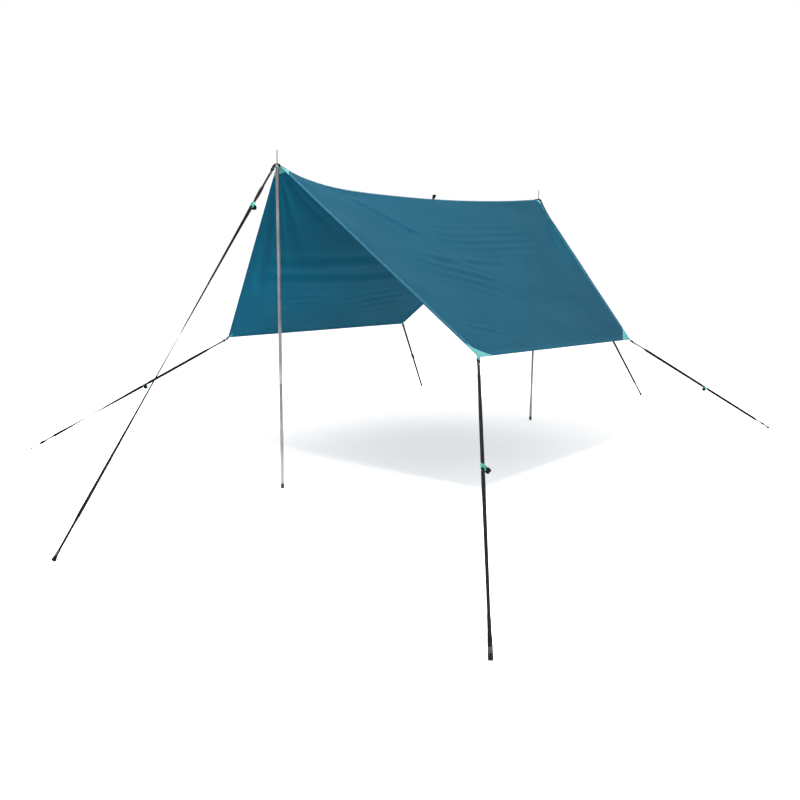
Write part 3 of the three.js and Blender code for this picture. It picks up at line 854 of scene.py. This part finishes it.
def add_hem_stitches(side):
    """Two rows of stitches round each wing, pale along its ends and dark along the eave and inside."""
    along = np.linspace(-1, 1, 500)
    inset = HEM_WIDTH - STITCH_INSET
    rows = {"ends": [], "eave": []}
    for lift in (FACE_LIFT, -FACE_LIFT):
        u = np.full_like(along, 1 - inset / SLOPE)
        v = along * end_v(u, inset)
        rows["eave"].append((on_wing(side, u, v, lift), wing_normal(side, u, v) * np.sign(lift)))
        u = np.linspace(0.012, 1 - inset / SLOPE, 400)
        for end in ENDS.values():
            v = end * end_v(u, inset)
            face = "ends" if lift > 0 else "eave"
            rows[face].append((on_wing(side, u, v, lift), wing_normal(side, u, v) * np.sign(lift)))
    pieces = []
    for place, thread in (("ends", "thread_teal"), ("eave", "thread_deep")):
        obj = stitches(f"hem_stitches_{place}_{side}", rows[place], thread)
        follow_wing(obj)
        pieces.append(obj)
    return pieces


def patch_place(place, end, s, w):
    """u and v of a patch point: s runs out from the corner, w from the eave or ridge to the end edge."""
    along, slope, bow = PATCHES[place]
    p = s * along * (1 - w) ** bow
    q = s * slope * w ** bow
    u = 0.0004 + q / END_EDGE if place.startswith("ridge") else 1 - 0.0004 - q / END_EDGE
    return u, end * end_v(u, p * END_SLANT + 0.0006)


def add_patches(side, end_name):
    """Reinforcement at one end of a wing: a patch on each face, at the ridge and at the corner."""
    end = ENDS[end_name]
    pieces = []
    for place in ("ridge", "corner"):
        kind = f"ridge_{end_name}" if place == "ridge" else f"{end_name}_{side}"
        for face, lift in (("outer", 1), ("inner", -1)):
            tip = PIN_ROOM if place == "ridge" and face == "inner" else 0
            s, w = np.meshgrid(np.linspace(tip, 1, 16), np.linspace(0, 1, 28), indexing="ij")
            u, v = patch_place(kind, end, s, w)
            uvs = np.stack([half_length(u) * v, u * SLOPE], axis=-1)
            low, high = on_wing(side, u, v, lift * FACE_LIFT / 2), on_wing(side, u, v, lift * PATCH_THICK)
            name = f"{place}_patch_{face}_{end_name}_{side}"
            mint = lift > 0 or place == "ridge"
            obj = double_grid(name, high, low, uvs, ["mint" if mint else "tarp_inner"], True)
            w_row = np.linspace(0.02, 0.98, 60)
            row_u, row_v = patch_place(kind, end, np.full_like(w_row, 0.965), w_row)
            path = on_wing(side, row_u, row_v, lift * PATCH_THICK)
            normal = wing_normal(side, row_u, row_v) * lift
            thread = "thread_mint" if mint else "thread_deep"
            seam = stitches(name + "_stitches", [(path, normal)], thread)
            for piece in (obj, seam):
                if place == "ridge":
                    follow_wing(piece)
                else:
                    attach(piece, f"wing_{side}")
                pieces.append(piece)
            if face == "outer":
                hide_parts(f"{place}_patch_{end_name}_{side}")
    return pieces


def add_ridge_seam():
    """Folded seam strip that lies over the ridge, with two rows of stitches."""
    across, along = 9, 161
    y = np.linspace(-1, 1, along)[None, :] * np.ones((across, 1))
    x = np.linspace(-1, 1, across)[:, None] * SEAM_HALF * np.ones((1, along))
    v = y * (1 - (TIP_GAP + 0.002) / RIDGE_HALF)
    u = np.abs(x) / EAVE_OUT
    side_points = {}
    for side in WINGS:
        low, high = on_wing(side, u, v, FACE_LIFT), on_wing(side, u, v, SEAM_TOP)
        side_points[side] = (low, high)
    is_left = (x < 0)[..., None]
    low = np.where(is_left, side_points["left"][0], side_points["right"][0])
    high = np.where(is_left, side_points["left"][1], side_points["right"][1])
    for grid in (low, high):
        grid[across // 2, :, 0] = 0
    uvs = np.stack([RIDGE_HALF * v, x], axis=-1)
    seam = double_grid("ridge_seam", high, low, uvs, ["tarp_outer"], False)
    settle(seam, "ridge", "ridge_tape")
    rows = []
    run = np.linspace(-1, 1, 700) * (1 - 0.016 / RIDGE_HALF)
    for side in WINGS:
        u = np.full_like(run, (SEAM_HALF - 0.002) / EAVE_OUT)
        rows.append((on_wing(side, u, run, SEAM_TOP), wing_normal(side, u, run)))
    settle(stitches("ridge_seam_stitches", rows, "thread_teal"), "ridge")


# ---- webbing ----
def smooth_path(points, steps=6):
    """Catmull-Rom curve through the points."""
    points = np.asarray(points, float)
    padded = np.concatenate([[2 * points[0] - points[1]], points, [2 * points[-1] - points[-2]]])
    out = []
    for i in range(1, len(padded) - 2):
        a, b, c, d = padded[i - 1:i + 3]
        for t in np.linspace(0, 1, steps, endpoint=False):
            out.append(catmull_rom(a, b, c, d, t))
    out.append(points[-1])
    return np.array(out)


def arc(centre, radius, first, last, count):
    angles = np.radians(np.linspace(first, last, count))
    return [(centre[0] + radius * math.cos(a), centre[1] + radius * math.sin(a)) for a in angles]


def to_world(frame_matrix, flat_points):
    """Points of a strap's side view, x along it and y out of its face, in the row frame."""
    return np.array([frame_matrix @ Vector((x, y, 0)) for x, y in flat_points])


def row(vector):
    return np.array(vector, float)


class Guy:
    """Places of one guy, read from its joints and its mount."""

    def __init__(self, name):
        self.name = name
        self.tab_loop = Vector(JOINTS[f"guy_swing_{name}"]["pos_m"])
        self.top = Vector(JOINTS[f"guy_lift_{name}"]["pos_m"])
        self.across = Vector(JOINTS[f"guy_lift_{name}"]["axis"]).normalized()
        mount = Vector(MOUNTS[f"peg_loop_{name}"]["pos_m"])
        self.peg = Vector((mount.x, mount.y, PEG_BAR * math.cos(math.pi / PEG_SIDES)))
        self.along = (self.peg - self.top).normalized()
        self.face = self.across.cross(self.along)
        self.length = (self.peg - self.top).length
        self.pull = (self.top - self.tab_loop).normalized()
        low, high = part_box(f"buckle_{name}")
        middle = (low + high) / 2
        self.buckle_at = (middle - self.top).dot(self.along)
        self.buckle = self.top + self.along * self.buckle_at
        self.slide = JOINTS[f"buckle_slide_{name}"]["range_m"]
        low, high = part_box(f"tail_{name}")
        hang = (low + high) / 2 - self.buckle
        drop = hang - self.along * hang.dot(self.along)
        self.roll_centre = (hang.dot(self.along), -drop.length)
        self.roll_matrix = place_local(self.buckle, self.along, self.along.cross(-drop.normalized()))
        self.level = self.along.cross(UP).normalized()
        self.matrix = place_local(self.top, self.along, self.across)

    def turn_to_level(self):
        """Angle in degrees, about the strap, from its top across direction to its level direction."""
        return math.degrees(math.atan2(self.level.dot(self.face), self.level.dot(self.across)))


def twist_angles(guy, stations):
    """Twist of the strap in degrees at each distance from its top.

    The strap is flat at its top, at the buckle and at both ends of the buckle's slide."""
    shares, angles, half_turns = TWISTS[guy.name]
    last = half_turns + guy.turn_to_level()
    keys = [(0, 0), (LAP, 0), (guy.length - PEG_LAP, last), (guy.length, last)]
    keys += [(share * guy.length, angle) for share, angle in zip(shares, angles)]
    stops = [(guy.buckle_at, FLAT_AT_BUCKLE)] + [(guy.buckle_at + way, FLAT_AT_END) for way in guy.slide]
    for stop, flat_reach in stops:
        course = np.interp(stop, *zip(*sorted(keys)))
        flat = 180 * round(course / 180) if stop != guy.buckle_at else 0
        keys = [key for key in keys if abs(key[0] - stop) > flat_reach]
        keys += [(stop - flat_reach, flat), (stop + flat_reach, flat)]
    at, values = zip(*sorted(keys))
    return ease_between(np.array(at), np.array(values), stations)


def ease_between(at, values, places):
    """Values between keys, easing in and out at each."""
    i = np.clip(np.searchsorted(at, places, side="right") - 1, 0, len(at) - 2)
    span = np.maximum(at[i + 1] - at[i], 1e-9)
    t = smooth_step((places - at[i]) / span)
    return values[i] + (values[i + 1] - values[i]) * t


def guy_path(guy):
    """Middle line of a guy's strap, and the distance of each point from its top, 0 in the loop and lap."""
    lap = [(LAP, -WEB_GAP), (0.03, -WEB_GAP), (0.012, -WEB_GAP * 1.1), (0.005, -LOOP_R * 0.97)]
    loop = arc((0, 0), LOOP_R, 270, 90, 7) + [(0.006, LOOP_R * 0.72), (0.014, 0.0004), (0.022, 0)]
    head = smooth_path(lap + loop, 4)
    run = np.arange(0.03, guy.length - PEG_LAP + 0.02, STRAP_STEP)
    flat = np.concatenate([head, np.stack([run, 0 * run], 1)])
    return to_world(guy.matrix, flat), np.concatenate([np.zeros(len(head)), run])


def add_guy(name):
    """Strap from its ring to the peg loop, with its buckle, rolled tail and stitches."""
    guy = Guy(name)
    path, distance = guy_path(guy)
    angle = np.radians(twist_angles(guy, distance))[:, None]
    across = np.cos(angle) * row(guy.across) + np.sin(angle) * row(guy.face)
    strap = ribbon(f"guy_strap_{name}", path, across, WEB_WIDTH, WEB_THICK, "black_web")
    pieces = [add_peg_loop(guy), add_buckle(guy), add_tail(guy), add_keeper(guy), add_lap_stitches(guy)]
    settle(strap, f"guy_{name}", f"guy_{name}")
    add_ring(guy)


def add_peg_loop(guy):
    matrix = place_local(guy.peg, guy.along, guy.level)
    radius = PEG_LOOP_R - WEB_THICK / 2 - 0.0002
    side = [(-PEG_LAP, WEB_GAP), (-0.03, WEB_GAP), (-0.017, WEB_GAP * 1.3), (-0.0085, radius * 0.72)]
    flat = side + arc((0, 0), radius, 125, -125, 11) + [(x, -y) for x, y in side[::-1]]
    path = to_world(matrix, smooth_path(flat, 4))
    obj = ribbon(f"peg_strap_{guy.name}", path, row(guy.level), WEB_WIDTH, WEB_THICK, "black_web")
    return settle(obj, f"guy_{guy.name}", f"peg_loop_{guy.name}")


def box_rows(matrix, x0, x1, height):
    """Rows of a sewn box with a cross in it, on a strap's face. height says which face."""
    low, high = -SEWN_HALF, SEWN_HALF
    corners = [(x0, low), (x1, low), (x1, high), (x0, high), (x0, low), (x1, high), (x1, low), (x0, high)]
    normal = matrix.to_3x3() @ Vector((0, math.copysign(1, height), 0))
    rows = []
    for (xa, za), (xb, zb) in zip(corners, corners[1:]):
        steps = np.linspace(0, 1, 8)
        points = [matrix @ Vector((xa + (xb - xa) * t, height, za + (zb - za) * t)) for t in steps]
        rows.append((np.array(points), row(normal)))
    return rows


def add_lap_stitches(guy):
    top = WEB_THICK / 2
    low = WEB_GAP + WEB_THICK / 2
    rows = []
    for height in (top, -low):
        rows += box_rows(guy.matrix, 0.014, LAP - 0.004, height)
    end = place_local(guy.peg, guy.along, guy.level)
    for height in (low, -low):
        rows += box_rows(end, -0.042, -0.018, height)
    return settle(stitches(f"strap_stitches_{guy.name}", rows, "thread_grey"), f"guy_{guy.name}")


def add_ring(guy):
    """Wire rectangle with round corners, between a tab's loop and its guy's."""
    centre = guy.tab_loop + guy.pull * RING_PITCH / 2
    matrix = place_local(centre, guy.pull, (guy.across - guy.pull * guy.across.dot(guy.pull)).normalized())
    points = []
    for x, z, first in ((1, 1, 0), (-1, 1, 90), (-1, -1, 180), (1, -1, 270)):
        bend = x * (RING_PITCH / 2 - RING_CORNER), z * (RING_HALF_WIDE - RING_CORNER)
        points += arc(bend, RING_CORNER, first, first + 90, 7)
    path = np.array([matrix @ Vector((x, 0, z)) for x, z in points])
    obj = closed_tube(f"ring_wire_{guy.name}", densify(path), RING_WIRE, "dark_metal")
    settle(obj, f"ring_{guy.name}", f"ring_{guy.name}")


def densify(path):
    """A closed path with extra points along its straight parts."""
    out = []
    for a, b in zip(path, np.roll(path, -1, axis=0)):
        steps = max(1, int(np.linalg.norm(b - a) / 0.0016))
        out += [a + (b - a) * k / steps for k in range(steps)]
    return np.array(out)


# ---- buckles and rolled tails ----
def buckle_boxes():
    """Centre and size of each box of a ladder buckle: X along the strap, Y out of its face, Z across."""
    rail, bar, lip = (0.031, 0.0062, 0.0042), (0.0056, 0.0015, 0.024), (0.0035, 0.0022, 0.0225)
    boxes = [((0, 0.0012, side * 0.0112), rail) for side in (1, -1)]
    boxes += [((side * 0.0128, -0.0019, 0), bar) for side in (-1, 1)]
    boxes += [((0.0005, 0.0029, 0), (0.0062, 0.0028, 0.024)),
              ((-0.0095, 0.0042, 0), (0.0105, 0.0022, 0.0225)), ((-0.0135, 0.0052, 0), lip)]
    return boxes + [((-0.0145 + 0.0026 * rib, 0.0058, 0), (0.001, 0.0012, 0.018)) for rib in range(4)]


def buckle_mesh():
    """Moulded buckle, its boxes melted into one smooth shape: two bars under the strap and one over it."""
    whole = bmesh.new()
    for centre, size in buckle_boxes():
        place = Matrix.Translation(centre) @ Matrix.Diagonal((*size, 1))
        bmesh.ops.create_cube(whole, size=1, matrix=place)
    mesh = bpy.data.meshes.new("buckle_shape")
    whole.to_mesh(mesh)
    whole.free()
    obj = bpy.data.objects.new("buckle_shape", mesh)
    bpy.context.scene.collection.objects.link(obj)
    remesh = obj.modifiers.new("remesh", "REMESH")
    remesh.mode = "VOXEL"
    remesh.voxel_size = 0.00042
    soften = obj.modifiers.new("soften", "SMOOTH")
    soften.factor = 0.5
    soften.iterations = 4
    apply_modifiers(obj)
    melted = obj.data
    bpy.data.objects.remove(obj)
    melted.materials.clear()
    melted.materials.append(MATERIALS["buckle"])
    melted.polygons.foreach_set("use_smooth", [True] * len(melted.polygons))
    return melted


def add_buckle(guy):
    obj = bpy.data.objects.new(f"buckle_body_{guy.name}", BUCKLE_MESH)
    bpy.context.scene.collection.objects.link(obj)
    obj.matrix_world = place_local(guy.buckle, guy.along, guy.across)
    return settle(obj, f"buckle_{guy.name}", f"buckle_{guy.name}")


def roll_turns(centre):
    """Points of the spiral from its heart to the top of its outside turn."""
    turns = (ROLL_R - ROLL_HEART) / ROLL_PITCH
    points = []
    for angle in np.linspace(90 - 360 * turns, 90, int(24 * turns)):
        radius = ROLL_R - ROLL_PITCH * (90 - angle) / 360
        a = math.radians(angle)
        points.append((centre[0] + radius * math.cos(a), centre[1] + radius * math.sin(a), 0))
    return points


def add_tail(guy):
    """Spare webbing that leaves the buckle under its first bar and is rolled up below or beside it."""
    x, y = guy.roll_centre
    points = roll_turns(guy.roll_centre)
    rolled = len(points)
    top = y + ROLL_R
    beside = top <= -0.006
    if beside:
        lead = [(x - 0.009, top + 0.0006, 0), (-0.0125, top + 0.005, 0.0012), (-0.0152, -0.005, 0.0034),
                (-0.0152, 0, 0.0036), (-0.0152, 0.005, 0.0034)]
    else:
        lead = [(x - 0.008, top + 0.0002, 0), (-0.0125, -0.0036, 0), (-0.0163, -0.0032, 0),
                (-0.0178, -0.0019, 0)]
    points += [tuple(p) for p in smooth_path([points[-1]] + lead, 6)[1:]]
    path = np.array([guy.roll_matrix @ Vector(p) for p in points])
    basis = guy.roll_matrix.to_3x3()
    across = row(basis @ Vector((0, 0, 1))) * np.ones((len(points), 1))
    if beside:
        turned = smooth_step((np.arange(len(points)) - rolled) / (len(points) - rolled))[:, None]
        across = across * (1 - turned) + row(basis @ Vector((-1, 0, 0))) * turned
    obj = ribbon(f"tail_roll_{guy.name}", path, across, WEB_WIDTH, WEB_THICK, "black_web")
    return settle(obj, f"buckle_{guy.name}", f"tail_{guy.name}")


def add_keeper(guy):
    """Mint band that holds the roll closed, from the buckle round one side of it."""
    radius = ROLL_R + WEB_THICK / 2 + KEEPER_LIFT
    path = to_world(guy.roll_matrix, arc(guy.roll_centre, radius, *KEEPERS[guy.name], 36))
    across = row(guy.roll_matrix.to_3x3() @ Vector((0, 0, 1)))
    obj = ribbon(f"tail_keeper_{guy.name}", path, across, KEEPER_WIDTH, KEEPER_THICK, "mint_web")
    return settle(obj, f"buckle_{guy.name}")


# ---- tabs ----
def cloth_spot(side, u, v, lift):
    """One point off the cloth, and the way the outer face looks there."""
    at = np.array([u]), np.array([v])
    return on_wing(side, *at, lift)[0], wing_normal(side, *at)[0]


def add_corner_tab(name):
    """Mint tab folded round the ring's bar, with one leg sewn on each face of the cloth corner."""
    guy = Guy(name)
    end_name, side = name.split("_")
    end = ENDS[end_name]
    root = 1 - TAB_ROOT[0] / SLOPE, end * (1 - TAB_ROOT[1] / EAVE_HALF)
    tip = 1 - TAB_TIP / SLOPE, end * (1 - TAB_TIP / EAVE_HALF)
    halfway = (root[0] + tip[0]) / 2, (root[1] + tip[1]) / 2
    gap = PATCH_THICK + WEB_THICK / 2
    across = (guy.across - guy.pull * guy.across.dot(guy.pull)).normalized()
    face = across.cross(guy.pull)
    outward = cloth_spot(side, *root, gap)[1]
    if row(face) @ outward < 0:
        face = -face
    bend = [row(guy.tab_loop + (guy.pull * math.cos(a) + face * math.sin(a)) * LOOP_R)
            for a in np.radians(np.linspace(100, -100, 9))]
    spots = (root, halfway, tip)
    legs = {lift: [cloth_spot(side, *spot, lift * gap)[0] for spot in spots] for lift in (1, -1)}
    path = smooth_path(legs[1] + bend + legs[-1][::-1], 5)
    obj = ribbon(f"corner_tab_strap_{name}", path, row(across), WEB_WIDTH, TAB_THICK, "mint_web")
    settle(obj, f"wing_{side}", f"corner_tab_{name}")
    rows = []
    run = np.linspace(0.08, 0.9, 10)[:, None]
    for lift, leg in legs.items():
        normal = outward * lift
        for shift in (-SEWN_HALF, SEWN_HALF):
            points = leg[0] + (leg[-1] - leg[0]) * run + row(across) * shift
            rows.append((points + normal * TAB_TOP, normal))
    settle(stitches(f"corner_tab_stitches_{name}", rows, "thread_mint"), f"wing_{side}")


def ridge_tab_path(end, guy, apex, plan, across):
    """Middle line of a ridge tab: round the ring's bar, over the eyelet and along the ridge."""
    face = across.cross(guy.pull)
    under = [guy.tab_loop + guy.pull * -0.012 - face * 0.0016]
    bar = [guy.tab_loop + (guy.pull * math.cos(a) + face * math.sin(a)) * LOOP_R
           for a in np.radians([-120, -80, -40, 0, 40, 80])]
    over = [apex + plan * 0.012 - UP * 0.0006, apex + plan * 0.006, apex]
    over.append(apex + Vector((0, -end, 0)) * 0.008)
    ridge = [Vector(cloth_spot("right", 0.0, end * (1 - depth / RIDGE_HALF), 0.0022)[0])
             for depth in (0.02, 0.03, 0.042, 0.054)]
    return smooth_path([row(p) for p in under + bar + over + ridge], 6)


def add_ridge_tab(end_name):
    """Black strap from the ridge guy's ring, level under the eyelet and then folded over the ridge."""
    guy, end = Guy(f"ridge_{end_name}"), ENDS[end_name]
    apex = Vector((0, end * RIDGE_HALF, RIDGE_TOP))
    plan = Vector((guy.pull.x, guy.pull.y, 0)).normalized()
    across = plan.cross(UP).normalized()
    path = ridge_tab_path(end, guy, apex, plan, across)
    sideways = square_to(np.broadcast_to(row(across), path.shape), unit(np.gradient(path, axis=0)))
    depth = RIDGE_HALF - path[:, 1] * end
    wrap = smooth_step((depth - WRAP_FROM) / WRAP_REACH)[:, None]
    widths = np.linspace(-RIDGE_TAB_HALF, RIDGE_TAB_HALF, 13)
    drop = np.sqrt(widths ** 2 + WRAP_ROUND ** 2) - WRAP_ROUND
    middle = path[:, None, :] + widths[None, :, None] * sideways[:, None, :]
    middle[..., 2] -= wrap * drop[None, :]
    half = unit(np.cross(np.gradient(middle, axis=0), np.gradient(middle, axis=1))) * WEB_THICK / 2
    uvs = np.stack(np.broadcast_arrays(run_lengths(path)[:, None], widths[None, :]), axis=-1)
    obj = double_grid(f"ridge_tab_strap_{end_name}", middle + half, middle - half, uvs, ["black_web"], True)
    drill_hole(obj, apex, EYELET_HOLE)
    settle(obj, "ridge", f"ridge_tab_{end_name}")


def drill_hole(obj, centre, radius):
    bpy.ops.mesh.primitive_cylinder_add(vertices=48, radius=radius, depth=0.01, location=centre)
    drill = bpy.context.object
    cut = obj.modifiers.new("hole", "BOOLEAN")
    cut.operation = "DIFFERENCE"
    cut.object = drill
    apply_modifiers(obj)
    bpy.data.objects.remove(drill)


def add_eyelet(end_name):
    """Two-part eyelet, the same above and below the strap that it is pressed on."""
    bore, neck, flange, seat, rim = 0.005, 0.0058, 0.0086, 0.001, 0.0021
    top = [(bore, 0), (bore, seat + 0.0004), (bore + 0.0006, rim - 0.0001), (neck + 0.0006, rim),
           (flange - 0.0008, rim - 0.0003), (flange, seat + 0.0005), (flange - 0.0003, seat), (neck, seat)]
    profile = top + [(r, -z) for r, z in top[::-1][:-1]] + [top[0]]
    centre = (0, ENDS[end_name] * RIDGE_HALF, RIDGE_TOP)
    obj = lathe(f"eyelet_ring_{end_name}", profile, centre, "dark_metal", 48)
    settle(obj, "ridge", f"eyelet_{end_name}")


def add_ridge_loop():
    """Doubled strap that stands on the middle of the ridge and leans towards the far pole."""
    low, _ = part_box("ridge_loop")
    radius, rise = RIDGE_LOOP_R - WEB_THICK / 2, RIDGE_LOOP_REACH
    side = [(-0.005, 0.0014), (0.001, 0.0014), (rise - 0.016, 0.0016), (rise - 0.0105, radius * 0.6)]
    flat = side + arc((rise, 0), radius, 125, -125, 13) + [(x, -y) for x, y in side[::-1]]
    lean = Vector((0, math.sin(RIDGE_LOOP_LEAN), math.cos(RIDGE_LOOP_LEAN)))
    matrix = place_local((0, 0, low.z + WEB_THICK / 2), lean, (1, 0, 0))
    path = to_world(matrix, smooth_path(flat, 4))
    obj = ribbon("ridge_loop_strap", path, (1, 0, 0), WEB_WIDTH, WEB_THICK, "black_web")
    settle(obj, "ridge", "ridge_loop")


# ---- poles ----
def add_pole_piece(node, profile, material, body):
    low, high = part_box(node)
    centre = ((low.x + high.x) / 2, (low.y + high.y) / 2, 0)
    settle(lathe(node + "_turned", profile, centre, material, 72), body, node)


def half_wide(node):
    low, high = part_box(node)
    return (high.x - low.x) / 2


def add_spigot_tube(node):
    """Pole section with a thinner spigot on top, hollow from end to end."""
    low, high = (corner.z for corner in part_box(node))
    radius = half_wide(node)
    bore = radius - TUBE_WALL
    spigot = radius - SPIGOT_STEP
    spigot_bore = spigot - TUBE_WALL
    shoulder = high - SPIGOT_LENGTH
    outside = [(bore, low), (radius - 0.0004, low), (radius, low + 0.0004), (radius, shoulder - 0.0012),
               (radius - 0.0005, shoulder), (spigot, shoulder + 0.0006), (spigot, high - 0.001),
               (spigot - 0.0008, high)]
    inside = [(spigot_bore, high), (spigot_bore, shoulder - 0.002), (bore, shoulder - 0.005), (bore, low)]
    add_pole_piece(node, outside + inside, "steel", node)


def add_top_tube(node):
    low, high = (corner.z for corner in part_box(node))
    radius = half_wide(node)
    bore, chamfer = radius - TUBE_WALL, 0.0004
    profile = [(bore, low), (radius - chamfer, low), (radius, low + chamfer), (radius, high - chamfer),
               (radius - chamfer, high), (bore, high), (bore, low)]
    add_pole_piece(node, profile, "steel", node)


def add_pin(end_name):
    """Plug that closes the top tube, its cap and the thin pin that goes through the eyelet."""
    node, tube = f"pole_pin_{end_name}", f"pole_upper_{end_name}"
    low, high = (corner.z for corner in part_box(node))
    radius, rim = half_wide(tube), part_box(tube)[1].z
    shoulder = RIDGE_TOP - SHOULDER_BELOW
    plug, pin = 0.0079, 0.003
    profile = [(0, low), (plug - 0.0005, low), (plug, low + 0.0005), (plug, rim + 0.0002),
               (radius - 0.0003, rim + 0.0003), (radius, rim + 0.0008), (radius, shoulder - 0.0014),
               (radius - 0.0011, shoulder - 0.0002), (pin * 1.5, shoulder), (pin, shoulder + 0.0015),
               (pin, high - 0.003), (pin * 0.8, high - 0.0012), (pin * 0.4, high - 0.0001), (0, high)]
    add_pole_piece(node, profile, "steel", tube)


def add_foot(end_name):
    """Rubber foot with three grooves round it, and a socket for the lower tube."""
    node = f"pole_foot_{end_name}"
    radius, top = half_wide(node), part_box(node)[1].z
    bottom = [(0, 0.0006), (0.004, 0.0006), (0.0045, 0), (radius - 0.0014, 0), (radius - 0.0002, 0.0009),
              (radius, 0.0022)]
    grooves = []
    for z in (0.006, 0.009, 0.012):
        floor = radius - 0.0006
        grooves += [(radius, z), (floor, z + 0.0005), (floor, z + 0.0011), (radius, z + 0.0016)]
    socket = [(radius, top - 0.0012), (radius - 0.0005, top), (0.0095, top), (0.0094, 0.0051), (0, 0.005)]
    add_pole_piece(node, bottom + grooves + socket, "rubber", f"pole_lower_{end_name}")


def add_pole(end_name):
    add_spigot_tube(f"pole_lower_{end_name}")
    add_spigot_tube(f"pole_middle_{end_name}")
    add_top_tube(f"pole_upper_{end_name}")
    add_pin(end_name)
    add_foot(end_name)


# ---- sizes that come from the frame ----
APEX = Vector(JOINTS["pole_tilt_far"]["pos_m"])
RIDGE_HALF, RIDGE_TOP = APEX.y, APEX.z
WINGS = {side: read_wing(side) for side in ("left", "right")}
EAVE_OUT = abs(WINGS["left"]["near"][0])
EAVE_HALF = WINGS["left"]["far"][1]
SLOPE = math.hypot(EAVE_OUT, RIDGE_TOP - WINGS["left"]["near"][2])
END_EDGE = math.hypot(SLOPE, RIDGE_HALF - EAVE_HALF)
END_SLANT = SLOPE / END_EDGE
# First and last angle of the band round each roll, from the strap's direction.
KEEPERS = {"ridge_near": (95, 275), "ridge_far": (95, 275), "near_left": (100, -95),
           "near_right": (95, 250), "far_left": (100, -95), "far_right": (95, 275)}
# Along the ridge or eave, along the end edge, and how far the inner edge bows towards the tip.
PATCHES = {"ridge_near": (0.09, 0.09, 1.1), "ridge_far": (0.06, 0.06, 1.0),
           "near_left": (0.12, 0.11, 1.1), "near_right": (0.135, 0.11, 1.25),
           "far_left": (0.12, 0.12, 1.0), "far_right": (0.115, 0.11, 1.0)}
# Shares of the strap's length, how far it has turned there in degrees, and its turn at the peg before
# it is levelled there.
TWISTS = {
    "ridge_near": ([0.07, 0.12, 0.16, 0.23, 0.31, 0.38, 0.45, 0.5, 0.57, 0.65, 0.73, 0.81, 0.9],
                   [50, 65, 94, 106, 115, 122, 130, 151, 161, 168, 179, 190, 202], 180),
    "ridge_far": ([0.05, 0.16, 0.9], [30, 45, 45], 0),
    "near_left": ([0.1, 0.15, 0.2, 0.39, 0.43, 0.48, 0.52, 0.56,
                   0.6, 0.65, 0.69, 0.73, 0.77, 0.81, 0.85, 0.88],
                  [-30, -45, -55, -60, -60, -75, -93, -102,
                   -114, -131, -143, -169, -180, -198, -212, -224], -360),
    "near_right": ([0.08, 0.44, 0.495, 0.54, 0.6, 0.72, 0.8, 0.86, 0.9],
                   [-35, -35, -25, -30, -16, -4, 2, 8, 12], 0),
    "far_left": ([0.5, 0.9], [0, 0], 0),
    "far_right": ([0.1, 0.27, 0.477, 0.527, 0.7, 0.89], [-55, -65, -60, -60, -65, -60], -180)}

add_camera()
MATERIALS = make_materials()
BUCKLE_MESH = buckle_mesh()
for guy_name in GUYS:
    add_guy(guy_name)
add_floor()
add_lights()
for side_name in WINGS:
    add_canopy(side_name)
add_ridge_seam()
for corner_name in CORNERS:
    add_corner_tab(corner_name)
for pole_name in ("near", "far"):
    add_ridge_tab(pole_name)
    add_eyelet(pole_name)
    add_pole(pole_name)
add_ridge_loop()
